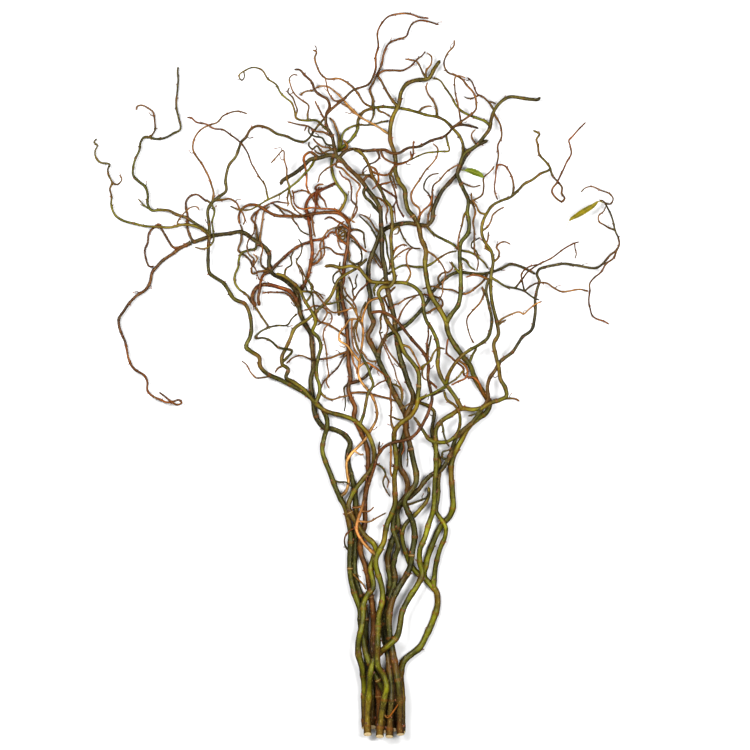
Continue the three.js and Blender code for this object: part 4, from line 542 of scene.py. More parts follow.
    ["main", "", 5.1, 0.9, "dark", [
      "48.5,-538 49.5,-505 51.1,-470 48.8,-440 46,-415 43,-390 42,-365 45,-345 50,-328 56,-312",
      "57,-298 54,-284 57,-270 62,-256 59,-243 54,-230 55,-215 58,-200 66,-188 80,-180 92,-170",
      "102,-157 112,-147 124,-142 133,-131 141,-114 146,-97 157,-82 171,-71 181,-57 190,-45 196,-33",
      "195,-15 198,-3 206,8 213,20 222,28 232,36 240,47 248,58 260,68 265,85 267,100 266,115",
      "269,130 273,142 269,152 272,159 282,163 298,166 311,168 325,166 340,163 358,162 368,168",
      "378,180 387,188 392,197 391,207 386,217 383,230 379,243 375,251 371,258",
    ]],
    ["wrist_t", "main", 1.4, 0.8, "dark", ["136,-125 128,-122 128,-114 138,-110 146,-104"]],
    ["east_t1", "main", 0.9, 0.6, "brown", [
      "371,258 379,257 383,265 378,272 365,278 351,283 341,281 334,274",
    ]],
    ["east_t2", "main", 0.9, 0.6, "brown", ["385,218 378,221 369,226 362,230 361,238 369,246 372,254"]],
    ["east_t3", "main", 0.8, 0.6, "brown", ["372,256 368,262 361,263"]],
    ["east_t4", "main", 1.3, 0.8, "red", [
      "388,190 383,176 373,168 363,154 355,147 348,138 348,128 347,114 349,101 352,90 360,85 369,83",
      "378,77",
    ]],
    ["inner_t1", "main", 1.5, 0.9, "dark", ["64,-192 76,-192 92,-187 104,-181 108,-172"]],
  ]],
  ["stem_8", [
    ["main", "", 5.2, 2.4, "dark", [
      "65,-535 64,-500 62.5,-465 57.5,-435 53,-410 49,-385 48,-358 53,-336 60,-321 69,-305 79,-286",
      "83,-262 86,-238 83,-216 75,-199 71,-188 78,-175 88,-160 89,-148 85,-130 81,-112 77,-95",
      "73,-78 74,-60 80,-46 84,-32 79,-15 72,5 65,25 61,48 57,70 55,90 51,108 46,126 43,144 42,162",
      "38,178 37,195 37,215 36,232 34,250 28,263 18,276 8,289 -3,301 -14,312 -25,324 -38,329",
      "-55,326 -70,323 -80,312 -92,303 -105,296 -112,291 -114,284",
    ]],
    ["red_ridge", "main", 2, 1.3, "umber", [
      "-27,326 -17,335 -5,339 10,336 30,337 42,338 52,333 64,333 76,340 92,343 104,348 116,353",
      "130,358 138,364 144,371 156,375 170,374 182,370",
    ]],
    ["ridge_t1", "red_ridge", 1.2, 0.8, "umber", ["30,337 33,326 28,320 18,315 10,308 8,300"]],
    ["ridge_t2", "red_ridge", 1.3, 0.8, "red", [
      "35,337 39,327 50,320 64,317 75,320 83,329 84,342 85,352",
    ]],
    ["ridge_t3", "red_ridge", 1.3, 0.9, "brown", [
      "144,371 156,380 168,389 178,399 178,411 174,422 165,433 158,442 148,448 136,453 130,466",
      "135,481 145,493 145,502",
    ]],
    ["ridge_t4", "red_ridge", 1.2, 0.8, "olive", [
      "133,360 135,348 138,337 120,335 104,333 90,327 78,321",
    ]],
    ["ridge_t5", "red_ridge", 1, 0.6, "brown", ["150,441 154,447 162,444"]],
    ["plume", "main", 2.2, 1.2, "umber", [
      "-30,329 -34,345 -38,360 -45,374 -46,390 -41,404 -44,413 -55,420 -63,427 -68,439 -78,450",
      "-86,458 -94,458",
    ]],
    ["plume_t1", "plume", 1.6, 0.8, "red", [
      "-45,391 -34,402 -20,414 -5,427 6,431 17,436 24,446 28,459 28,478 32,490 31,515 38,528 46,537",
      "65,542 85,540 97,536 108,535",
    ]],
    ["plume_t2", "plume", 1.4, 0.7, "olive", [
      "-40,363 -50,373 -60,381 -75,381 -90,385 -93,396 -98,408 -106,415 -114,423 -121,435 -132,443",
      "-142,456 -155,460 -168,455 -175,448 -173,440",
    ]],
    ["plume_t3", "plume_t2", 1, 0.6, "brown", [
      "-73,381 -73,392 -72,403 -82,411 -92,420 -99,433 -101,444 -95,449 -88,448",
    ]],
    ["plume_t4", "plume", 1.1, 0.7, "brown", ["-45,381 -53,392 -60,404 -63,412"]],
    ["plume_t5", "plume", 1.2, 0.7, "brown", ["-37,357 -50,364 -62,365 -73,373 -90,376 -104,379"]],
    ["plume_t6", "plume", 1.2, 0.7, "dark", ["-33,344 -45,346 -52,355 -62,357 -71,363 -71,372"]],
    ["plume_t7", "plume_t1", 1, 0.6, "brown", ["-20,414 -33,411 -42,423 -45,436 -48,448"]],
    ["barb", "main", 1.7, 0.8, "rust", [
      "-57,326 -70,334 -78,328 -77,312 -75,296 -74,280 -68,269 -63,258",
    ]],
    ["feeler", "main", 1.4, 0.8, "olive", [
      "-62,324 -72,307 -86,293 -100,281 -115,272 -130,264 -145,256 -160,248 -173,248 -190,254",
    ]],
    ["feeler_t1", "feeler", 1, 0.6, "brown", [
      "-100,281 -104,295 -105,310 -108,323 -110,336 -118,329 -129,317",
    ]],
    ["feeler_t2", "feeler", 1.3, 0.8, "brown", ["-102,280 -99,268 -97,256 -90,246 -82,239 -74,232"]],
    ["feeler_t3", "feeler", 1.4, 0.8, "red", [
      "-132,263 -136,281 -146,298 -157,316 -162,331 -170,343 -178,352 -187,359 -200,367 -213,369",
      "-223,375 -240,379 -248,386 -254,385",
    ]],
    ["comb", "main", 1.6, 0.9, "ember", ["8,289 16,298 28,291 36,282 48,273 57,267 62,251 70,236"]],
    ["burr", "main", 1.3, 0.8, "ochre", ["-40,329 -52,335 -60,343 -66,338 -72,344 -71,350"]],
    ["leaflet_t", "main", 1.2, 0.7, "brown", ["-16,313 -26,320 -36,314 -46,308 -56,298 -58,288"]],
    ["spit", "main", 1, 0.7, "brown", ["72,6 62,18 52,30 44,44 40,56 46,68 45,80"]],
    ["nest_1", "plume", 1.2, 0.8, "brown", ["-36,335 -42,341 -50,341.5 -57,345 -63,351 -66,355"]],
    ["nest_2", "nest_1", 1.3, 0.8, "brown", ["-38,334 -45,335.5 -53,331 -60,333 -64,338"]],
    ["wander", "main", 1.2, 0.7, "brown", [
      "-30,322 -30.5,312 -23,310 -11.6,299 -0.3,289 4.5,284 0.5,271.5 -1,257 -5,242.6 -7.5,231 -2,228",
    ]],
    ["short_1", "main", 1, 0.7, "dark", ["1,303 12.5,299.6 20,300 28.6,298.8"]],
    ["elbow_2", "main", 2, 1.6, "dark", ["31,243 27,252 20.6,260 13.3,266 10,273 10.9,281"]],
    ["fan_4", "feeler", 1, 0.7, "brown", ["-99,279 -103,271.5 -103.7,262 -102,257 -104.5,252"]],
    ["rung_1", "comb", 1.2, 0.8, "brown", ["34,284 37,286 44.7,287.6 53,291"]],
    ["stray_1", "main", 1.1, 0.8, "brown", ["28,272 38,262 46,248 43,239 45,226"]],
    ["side_5", "plume_t2", 0.9, 0.6, "brown", [
      "-88,389 -88.5,396 -92,405.6 -96,415.3 -103,423.7 -100.3,431",
    ]],
    ["lash_2", "plume_t2", 0.8, 0.6, "brown", ["-167,453 -168.5,444.5 -173.4,439"]],
    ["lash_3", "plume_t5", 0.8, 0.6, "brown", ["-75,373 -78.7,364.5"]],
    ["hang_2", "main", 0.8, 0.6, "dark", ["79,-99 75.5,-114 76.5,-126 74.5,-137"]],
  ]],
  ["stem_9", [
    ["main", "", 5.3, 1.2, "olive", [
      "16,-535 16,-505 17.9,-472 20.4,-443 24.1,-427 33,-413 48,-401 60,-388 64,-372 67,-353",
      "78,-332 91,-311 97,-297 94,-276 94,-258 102,-240 108,-220 114,-200 116,-180 116,-160",
      "118,-138 118,-115 117,-95 118,-80 127,-67 142,-57 156,-49 172,-50 187,-47 200,-40 214,-36",
      "223,-30 221,-18 214,-5 212,12 207,30 204,48 211,62 209,78 205,95 201,115 199,132 200,150",
      "203,170 200,187 191,200 186,214 187,228 194,243 203,255 216,262 231,268 241,277 250,287",
      "262,293 273,301 288,310 283,318 272,332 270,345 268,353 273,361 262,367",
    ]],
    ["tan_bow", "main", 3.2, 2.1, "olive", [
      "156,-49 149,-35 139,-21 130,-9 124,3 120,18 122,36 120,52 113,67 104,81 100,96 99,112 94,124",
      "84,134 72,139 55,139 36,139 20,142 11,151 3,160 -8,164 -25,162 -38,165 -49,163",
    ]],
    ["brace", "tan_bow", 2.6, 1.7, "moss", [
      "133,-13 136,0 143,14 154,28 166,37 181,46 195,57 200,74 200,90 196,108 192,126 195,140",
      "198,146",
    ]],
    ["finger", "main", 1.3, 0.9, "red", ["214,-36 226,-34 238,-35 243,-38"]],
    ["far_t1", "main", 1.4, 0.8, "dark", ["200,147 210,141 222,134 236,131 250,126 262,118 273,113"]],
    ["far_t2", "far_t1", 1.4, 0.9, "brown", [
      "250,126 258,133 270,139 284,138 292,132 305,126 320,127 335,129 346,126",
    ]],
    ["far_t3", "far_t1", 1.1, 0.7, "red", [
      "236,131 246,143 255,156 267,164 281,171 293,178 303,185 314,193 326,199 332,200",
    ]],
    ["far_t4", "far_t1", 1, 0.6, "red", ["250,127 247,140 245,152 252,160 264,165 276,167"]],
    ["far_t5", "far_t3", 0.7, 0.5, "brown", ["325,198 325,190 327,183 325,174"]],
    ["top_t1", "main", 1.2, 0.8, "red", [
      "288,310 292,298 300,290 306,281 305,272 310,265 307,260 295,268 291,276 299,290 307,305",
      "313,320 320,332 318,345 316,351 322,358 333,370 342,379",
    ]],
    ["top_t2", "main", 1.3, 0.8, "red", ["232,269 234,280 232,293 227,305 221,313 211,314 208,306"]],
    ["side_t1", "main", 1.1, 0.7, "brown", ["187,216 195,222 200,232 202,240 210,247 220,252"]],
    ["side_t2", "main", 1.2, 0.7, "brown", ["203,170 211,176 212,186 208,192 213,198 221,200 230,196"]],
    ["side_t3", "main", 1.1, 0.7, "brown", ["193,241 184,244 178,254 172,262 171,274"]],
    ["side_t4", "brace", 1.3, 0.8, "rust", ["197,143 185,149 172,150 162,147"]],
    ["side_t5", "brace", 1.2, 0.7, "brown", [
      "193,122 186,132 189,122 184,110 172,97 164,84 165,70 170,56 175,48",
    ]],
    ["side_t6", "main", 1.2, 0.7, "brown", ["200,185 192,192 195,204 196,216"]],
    ["peel_t", "main", 1.1, 0.6, "gold", ["209,79 220,87 232,93 243,95 248,92 256,99 264,106 276,111"]],
    ["olive_t", "main", 1.2, 0.8, "dark", ["200,-41 186,-45 178,-56 165,-60"]],
    ["shadow_t", "tan_bow", 1.3, 0.8, "dark", ["135,-16 120,-22 104,-31 90,-38 76,-43 66,-50"]],
    ["arc_t", "main", 2.4, 1.6, "moss", ["117,-99 108,-94 99,-82 90,-68 84,-60"]],
    ["arc_t2", "main", 2.2, 1.5, "olive", [
      "119,-99 133,-99 146,-90 154,-74 153,-58 146,-44 134,-34 130,-22",
    ]],
    ["high_t", "tan_bow", 1.2, 0.8, "brown", ["74,139 80,152 74,168 76,184 82,191"]],
    ["stray_6", "tan_bow", 1.5, 1, "olive", ["31,137 25,129 27,119"]],
    ["whip_2", "brace", 1.4, 0.8, "rust", ["152,23 163,12.5 165,3 162,-3 151.5,-7.5 140,-14"]],
    ["post_2", "main", 1.3, 0.9, "dark", ["128,-70 128,-76 129.4,-86 132.2,-94.4 138,-106"]],
    ["stub_c", "main", 1.1, 0.9, "brown", ["211,75 217.5,81 223.5,84"]],
  ]],
  ["stem_10", [
    ["main", "", 5.3, 1.7, "olive", [
      "34,-537 36,-512 40,-482 44.3,-460 38.8,-444 31.4,-432 30,-415 31,-395 32,-374 33,-354",
      "37,-338 38,-322 35,-306 30,-290 28,-274 33,-261 40,-248 43,-233 46,-220 52,-205 57,-190",
      "57,-170 56,-150 59,-130 58,-110 55,-95 56,-82 67,-69 80,-60 88,-47 91,-30 93,-12 91,6 82,21",
      "72,34 66,47 60,60 52,72 44,85 40,98 36,112 32,124 38,132 48,133 55,142 54,160 52,180 51,200",
      "52,220 52,240 50,252 42,262 36,276 29,288 22,300 18,313 13,324 5,333 -6,337",
    ]],
    ["rust_run", "main", 2, 1.9, "peel", [
      "29,-268 16,-256 5,-243 0,-229 2,-213 8,-196 13,-178 17,-162 22,-148 27,-134 31,-119 39,-107",
      "52,-100 66,-97 80,-92 92,-82 101,-66 108,-50 112,-35 109,-18 106,-3 107,16 99,34 87,49 75,63",
      "66,74 58,84 47,92 36,96 20,94",
    ]],
    ["rust_t1", "rust_run", 1.5, 0.8, "red", ["107,14 105,32 104,47 107,62 106,76"]],
    ["rust_t2", "rust_run", 1.1, 0.7, "dark", ["33,-115 33,-105 34,-97"]],
    ["rust_t3", "rust_run", 1, 0.7, "rust", ["68,-97 70,-108 66,-118"]],
    ["rust_t4", "rust_run", 1.1, 0.7, "brown", ["9,-194 0,-196 -8,-196"]],
    ["rust_t5", "rust_run", 1.1, 0.7, "brown", ["7,-202 18,-202 26,-195"]],
    ["rust_t6", "rust_run", 1.2, 0.7, "dark", ["2,-217 16,-218 30,-211 44,-204"]],
    ["green_t1", "main", 1.4, 0.8, "brown", ["55,-83 51,-66 51,-42 50,-20 50,-2"]],
    ["green_t2", "main", 1, 0.6, "dark", ["70,-67 58,-63 46,-58"]],
    ["green_t3", "main", 1.5, 0.8, "olive", ["90,8 98,14 108,22 114,34 121,41 132,40"]],
    ["green_t4", "main", 1.4, 0.8, "brown", ["66,47 78,42 86,30 92,16 96,8"]],
    ["green_t5", "main", 1.3, 0.8, "olive", ["90,-34 104,-30 120,-22 136,-12 150,-2 160,10"]],
    ["green_t6", "main", 1.2, 0.7, "dark", ["40,98 35,86 36,72 34,64 40,66"]],
    ["orange_t1", "main", 1.3, 0.7, "rust", ["52,178 59,190 70,196 76,193"]],
    ["orange_t2", "main", 1.2, 0.7, "rust", ["18,312 26,309 32,298 31,286 22,277"]],
    ["orange_t3", "main", 1.2, 0.7, "rust", ["20,305 32,300 46,300 56,312 70,317 80,323 80,336"]],
    ["orange_t4", "main", 1.2, 0.7, "brown", ["53,216 62,222 60,212 54,211"]],
    ["base_t", "main", 1.1, 0.8, "rust", ["36,-500 45,-509 55,-498 62,-488"]],
    ["grey_1", "green_t6", 1.1, 0.8, "brown", [
      "35,62 37,54 41.5,43 49.5,24 55.6,11.5 58.4,0 64,-12 69.5,-29",
    ]],
    ["grey_2", "rust_run", 1, 0.7, "brown", ["61,81 63,86 67,96 72,104.4 81.6,114.8 89,119"]],
    ["bridge_2", "rust_t1", 1.2, 0.9, "dark", ["107,28 106.5,40 109,49.7 111,62"]],
    ["stray_4", "main", 1, 0.7, "brown", ["56,172 62.4,181.5 72,188 80,191"]],
    ["nick_2", "green_t3", 1.2, 0.9, "brown", ["102,15 97,7 98.8,-2.5 104,-7"]],
    ["nick_3", "rust_run", 1.4, 1, "rust", ["108,-7 113,-12 119.7,-19"]],
    ["line_2", "rust_run", 0.9, 0.7, "dark", ["112,-29.5 115,-28 132,-20.5"]],
    ["strip_1", "rust_run", 1.3, 0.9, "gold", ["52,-104 50.5,-113 50.7,-129 50,-143 52,-151"]],
  ]],
]

# Each leaf: node, half width, the share of the midrib where its blade ends, material slot, and
# its midrib in plan from the stalk to the tip.
LEAVES: list[list] = [
    ["leaf_green", 4.6, 0.96, "green_leaf",
     "156,307.8 160,307.6 167,307.6 175,305 184,301 190.5,296"],
    ["leaf_yellow", 4.3, 0.84, "yellow_leaf",
     "369.5,258.8 362,261 353,254.5 343,248.5 330,240.5 318,232.5 312.5,220"],
]


def places(lines: list[str]) -> np.ndarray:
    """The points of a route.

    Args:
        lines: The route as words of the form "x,y", in millimetres.

    Returns:
        One row of x and y for each point, moved by SHIFT.
    """
    words = " ".join(lines).split(" ")
    return np.array([[float(v) for v in word.split(",")] for word in words]) + np.array(SHIFT)


def full_radius(drawn: float) -> float:
    """A shoot's radius from the one in its row: the middling ones are the fullest."""
    return min(slope * drawn + addend for slope, addend in FULLER)


def smooth_step(low: float, high: float, value: float | np.ndarray) -> float | np.ndarray:
    """A smooth rise from 0 to 1.

    Args:
        low: The value up to which it is 0.
        high: The value from which it is 1.
        value: The value, or an array of them.

    Returns:
        The height of the rise at each value.
    """
    share = np.clip((value - low) / (high - low), 0.0, 1.0)
    return share * share * (3.0 - 2.0 * share)


@dataclass
class Join:
    """Where a side shoot grows from its parent."""

    segment: int
    share: float


@dataclass
class Shoot:
    """One shoot of a stem: its route in plan, its radii and its place in the tree of shoots."""

    stem: str
    tier: int
    name: str
    bark: Bark
    parent: Shoot | None
    join: Join | None
    start_radius: float
    tip_radius: float
    drawn: np.ndarray
    kept: list[int]
    order: int
    first: int = 0
    heights: np.ndarray = field(default_factory=lambda: np.zeros(0))

    def __post_init__(self) -> None:
        """Works out the lengths along the thinned route."""
        self.path = self.drawn[self.kept]
        steps = np.linalg.norm(np.diff(self.path, axis=0), axis=1)
        self.along = np.concatenate([[0.0], np.cumsum(steps)])
        self.length = float(self.along[-1])

    def radius(self, along: float) -> float:
        """The radius at a distance along the shoot, both in millimetres."""
        share = (along / self.length) ** TAPER
        return self.start_radius + (self.tip_radius - self.start_radius) * share

    def radius_at(self, segment: int, share: float) -> float:
        """The radius part of the way along one straight run.

        Args:
            segment: The run's number.
            share: The share of the way along it.

        Returns:
            The radius in millimetres.
        """
        here = self.radius(self.along[segment])
        return here + (self.radius(self.along[segment + 1]) - here) * share

    def drawn_points(self) -> np.ndarray:
        """Gives every drawn point its height.

        Returns:
            One row of x, y and z for each point, in millimetres.
        """
        result = np.zeros((len(self.drawn), 3))
        result[:, :2] = self.drawn
        for run, (start, end) in enumerate(zip(self.kept, self.kept[1:])):
            stretch = self.drawn[start : end + 1]
            steps = np.linalg.norm(np.diff(stretch, axis=0), axis=1)
            share = np.concatenate([[0.0], np.cumsum(steps)]) / steps.sum()
            low, high = self.heights[run], self.heights[run + 1]
            result[start : end + 1, 2] = low + (high - low) * share
        return result


def thin_out(points: np.ndarray) -> list[int]:
    """The points of a route that a straight run can't stand in for.

    Args:
        points: The route in plan.

    Returns:
        The numbers of the points that are kept, from first to last.
    """
    kept, start = [0], 0
    for end in range(2, len(points)):
        step = points[end] - points[start]
        run = math.hypot(*step)
        inner = points[start + 1 : end] - points[start]
        worst = np.abs(inner[:, 0] * step[1] - inner[:, 1] * step[0]).max() / run
        if worst > CHORD or run > LONGEST_RUN:
            kept.append(end - 1)
            start = end - 1
    return kept + [len(points) - 1]


def nearest(path: np.ndarray, place: np.ndarray) -> tuple[int, float, np.ndarray]:
    """The point of a path that lies nearest to a place.

    Args:
        path: The path's points.
        place: The place, with as many coordinates as the path has.

    Returns:
        The run's number, the share of the way along it, and the point.
    """
    steps = np.diff(path, axis=0)
    share = ((place - path[:-1]) * steps).sum(axis=1) / (steps * steps).sum(axis=1)
    share = np.clip(share, 0.0, 1.0)
    points = path[:-1] + steps * share[:, None]
    best = int(np.argmin(np.linalg.norm(points - place, axis=1)))
    return best, float(share[best]), points[best]


@dataclass
class Sample:
    """One place on a shoot that is compared with those of the other shoots."""

    shoot: Shoot
    place: np.ndarray
    share: float
    along: float
    radius: float
    point: int


class Pile:
    """All the shoots of the bunch, laid over one another so that none runs through another."""

    def __init__(self) -> None:
        """Reads the table: the shoots that the solids hold first, then the finer twigs."""
        self.shoots: list[Shoot] = []
        by_name: dict[tuple[str, str], Shoot] = {}
        for fine in (False, True):
            for tier, (stem, rows) in enumerate(STEMS):
                for row in rows:
                    if (stem, row[0]) not in by_name:
                        self._read(stem, tier, row, fine, by_name)
            if not fine:
                self.solid_count = len(self.shoots)
        self._settle(self.solid_count, 0, SETTLE_ROUNDS, LIFT_ROUNDS)
        self._settle(len(self.shoots), self.solid_count, FINE_ROUNDS, 0)

    def _read(self, stem: str, tier: int, row: list, fine: bool, by_name: dict) -> None:
        """Adds one row's shoot, unless it waits for the finer ones or for its parent.

        Args:
            stem: The stem's name.
            tier: The stem's place in the pile, from the lowest.
            row: The shoot's row of the table.
            fine: Whether the finer twigs are being read.
            by_name: The shoots so far, by stem and name.
        """
        name, parent_name, start_radius, tip_radius, bark, lines = row
        start_radius, tip_radius = full_radius(start_radius), full_radius(tip_radius)
        parent = by_name.get((stem, parent_name))
        if parent_name and (parent is None or (start_radius < THIN_LIMIT and not fine)):
            return
        drawn = places(lines)
        join = None
        most = start_radius
        if parent:
            segment, share, place = nearest(parent.path, drawn[0])
            join = Join(segment, share)
            drawn[0] = place
            most = parent.radius_at(segment, share) * SHOULDER
        shoot = Shoot(
            stem, tier, name, Bark(bark), parent, join, min(start_radius, most),
            min(tip_radius, most), drawn, thin_out(drawn), len(self.shoots),
        )
        by_name[(stem, name)] = shoot
        self.shoots.append(shoot)

    @staticmethod
    def _rest_height(shoot: Shoot, number: int) -> float:
        """The height that a point of a shoot would take on its own.

        Args:
            shoot: The shoot.
            number: The point's number.

        Returns:
            The height in millimetres.
        """
        x, y = shoot.path[number]
        rise = smooth_step(MOUTH_START, MOUTH_END, y)
        far = np.clip((math.hypot(x, y - TIPS_MIDDLE) - TIPS_START) / TIPS_WIDTH, 0, 1)
        own = 0.0
        if shoot.parent:
            swing = TWIG_SWING * math.sin(1.9 * shoot.order)
            own = swing * shoot.along[number] / shoot.length
        return LOWEST + shoot.tier * SPREAD * rise * (1 - TIPS_DROP * far) + own

    @staticmethod
    def _joined(a: Sample, b: Sample) -> bool:
        """Whether two places may touch: on one run of a shoot, or about a join of one stem.

        Args:
            a: One place.
            b: The other.

        Returns:
            True where they may touch.
        """
        if a.shoot.stem != b.shoot.stem:
            return False
        if a.shoot is b.shoot:
            return abs(a.along - b.along) < LOOP_CLEAR
        for child, other in ((b, a), (a, b)):
            if child.shoot.parent is other.shoot and child.along < NEAR_JOIN:
                return True
            if child.shoot.parent and child.along < NEAR_JOIN / 2:
                return True
        return False

    def _samples(self, count: int) -> list[Sample]:
        """Evenly spaced places on each of the first shoots.

        Args:
            count: How many shoots take part.

        Returns:
            The places, shoot by shoot.
        """
        samples = []
        for shoot in self.shoots[:count]:
            for i in range(len(shoot.path) - 1):
                step = shoot.along[i + 1] - shoot.along[i]
                parts = max(1, math.ceil(step / SAMPLE))
                for j in range(parts):
                    share = (j + 0.5) / parts
                    place = shoot.path[i] + (shoot.path[i + 1] - shoot.path[i]) * share
                    samples.append(
                        Sample(shoot, place, share, shoot.along[i] + step * share,
                               shoot.radius_at(i, share), shoot.first + i)
                    )
        return samples

    def _pairs(self, count: int, fixed: int) -> list[np.ndarray]:
        """Every pair of places that are too close in plan to lie at one height.

        Args:
            count: How many shoots take part.
            fixed: How many of them, from the first, keep their heights.

        Returns:
            The lower point, the share along its run, the upper point, its share, and the
            height needed between them, each as one array.
        """
        samples = self._samples(count)
        tree = KDTree(len(samples))
        for number, sample in enumerate(samples):
            tree.insert((*sample.place, 0.0), number)
        tree.balance()
        rows = []
        for number, low in enumerate(samples):
            for _, other, apart in tree.find_range((*low.place, 0.0), SEARCH):
                if other <= number:
                    continue
                high = samples[other]
                if high.shoot.order < fixed or self._joined(low, high):
                    continue
                reach = low.radius + high.radius + GAP
                blur = max(0.0, apart - SAMPLE / 2)
                if blur < reach:
                    need = math.sqrt(reach * reach - blur * blur)
                    rows.append(self._row(low, high, need))
        return [np.array(column) for column in zip(*rows)]

    @staticmethod
    def _row(low: Sample, high: Sample, need: float) -> tuple[int, float, int, float, float]:
        """One pair's row, with the place on the lower stem first.

        Args:
            low: One place.
            high: The other.
            need: The height that is needed between them.

        Returns:
            The point and the share of each place, lower stem first, and the height.
        """
        if low.shoot.tier > high.shoot.tier:
            low, high = high, low
        return low.point, low.share, high.point, high.share, need

    def _settle(self, count: int, fixed: int, rounds: int, lifts: int) -> None:
        """Works out a height for every point of the first shoots.

        Args:
            count: How many shoots take part.
            fixed: How many of them, from the first, keep the heights they have.
            rounds: Rounds in which the shoots bend, sink and push one another apart.
            lifts: Closing rounds in which upper shoots are only lifted.
        """
        shoots = self.shoots[:count]
        total = 0
        for shoot in shoots:
            shoot.first = total
            total += len(shoot.path)
        low, rest, held = np.zeros(total), np.zeros(total), np.zeros(total, bool)
        back, ahead = np.arange(total), np.arange(total)
        z = np.zeros(total)
        for shoot in shoots:
            span = range(len(shoot.path))
            for i in span:
                flare = 1.0 if shoot.parent or i else BUTT_FLARE
                k = shoot.first + i
                low[k] = shoot.radius(shoot.along[i]) * flare + FLOOR_CLEAR
                rest[k] = max(low[k], self._rest_height(shoot, i))
                back[k] = k - 1 if i else k
                ahead[k] = k + 1 if i + 1 < len(shoot.path) else k
            at = slice(shoot.first, shoot.first + len(shoot.path))
            held[at] = shoot.order < fixed
            z[at] = shoot.heights if shoot.order < fixed else rest[at]
        kept = z.copy()
        a, s, b, t, need = self._pairs(count, fixed)
        wide = t * t + (1 - t) * (1 - t)
        joins = [
            (shoot.first, shoot.parent.first + shoot.join.segment, shoot.join.share)
            for shoot in shoots
            if shoot.parent and shoot.order >= fixed
        ]
        for number in range(rounds + lifts):
            lifting = number >= rounds
            if not lifting:
                z = z + SMOOTHING * ((z[back] + z[ahead]) / 2 - z) + SINKING * (rest - z)
                z[held] = kept[held]
            for own, run, share in joins:
                z[own] = z[run] + (z[run + 1] - z[run]) * share
            miss = need - ((z[b] + (z[b + 1] - z[b]) * t) - (z[a] + (z[a + 1] - z[a]) * s))
            miss = np.maximum(miss, 0.0)
            lift, drop = np.zeros(total), np.zeros(total)
            up = (1.0 if lifting else PUSH_UP) * miss
            np.maximum.at(lift, b, up * (1 - t) / wide)
            np.maximum.at(lift, b + 1, up * t / wide)
            if not lifting:
                np.maximum.at(drop, a, PUSH_DOWN * miss * (1 - s))
                np.maximum.at(drop, a + 1, PUSH_DOWN * miss * s)
            z = np.maximum(low, z + lift - drop)
            z[held] = kept[held]
        for own, run, share in joins:
            z[own] = z[run] + (z[run + 1] - z[run]) * share
        for shoot in shoots:
            shoot.heights = z[shoot.first : shoot.first + len(shoot.path)].copy()


def spline(points: np.ndarray, spacing: float) -> np.ndarray:
    """A smooth curve through points of uneven spacing.

    Args:
        points: The points that the curve passes.
        spacing: About how far apart the curve's own points lie.

    Returns:
        The curve's points.
    """
    runs = np.maximum(np.linalg.norm(np.diff(points, axis=0), axis=1), 1e-6)
    slopes = np.diff(points, axis=0) / runs[:, None]
    tangents = np.empty_like(points)
    tangents[0], tangents[-1] = slopes[0], slopes[-1]
    before, after = runs[:-1, None], runs[1:, None]
    tangents[1:-1] = (slopes[:-1] * after + slopes[1:] * before) / (before + after)
    pieces = []
    for i, run in enumerate(runs):
        count = max(2, round(run / spacing))
        t = (np.arange(count) / count)[:, None]
        pieces.append(
            (2 * t**3 - 3 * t**2 + 1) * points[i]
            + (t**3 - 2 * t**2 + t) * run * tangents[i]
            + (3 * t**2 - 2 * t**3) * points[i + 1]
            + (t**3 - t**2) * run * tangents[i + 1]
        )
    return np.vstack(pieces + [points[-1:]])


def frames(path: np.ndarray) -> tuple[np.ndarray, np.ndarray, np.ndarray]:
    """Directions along and across a path that turn as little as they can.

    Args:
        path: The path's points.

    Returns:
        The tangents and two directions square to them, one row for each point.
    """
    steps = np.diff(path, axis=0)
    steps /= np.linalg.norm(steps, axis=1)[:, None]
    tangent = np.vstack([steps[:1], steps[:-1] + steps[1:], steps[-1:]])
    tangent /= np.linalg.norm(tangent, axis=1)[:, None]
    across = np.empty_like(path)
    first = np.cross(tangent[0], (0.0, 0.0, 1.0))
    across[0] = first / np.linalg.norm(first)
    for i in range(1, len(path)):
        turned = across[i - 1] - tangent[i] * np.dot(across[i - 1], tangent[i])
        across[i] = turned / np.linalg.norm(turned)
    return tangent, across, np.cross(across, tangent)


@dataclass
class Line:
    """A shoot's smooth middle line with everything its bark is shaped and coloured by."""

    shoot: Shoot
    path: np.ndarray
    radii: np.ndarray
    tint: np.ndarray
    nodes: list[float]

    def __post_init__(self) -> None:
        """Works out the lengths and the directions along the line."""
        steps = np.linalg.norm(np.diff(self.path, axis=0), axis=1)
        self.along = np.concatenate([[0.0], np.cumsum(steps)])
        self.tangent, self.across, self.side = frames(self.path)

    def at(self, distance: float) -> int:
        """The number of the point nearest to a distance along the line."""
        return int(np.clip(np.searchsorted(self.along, distance), 0, len(self.path) - 1))


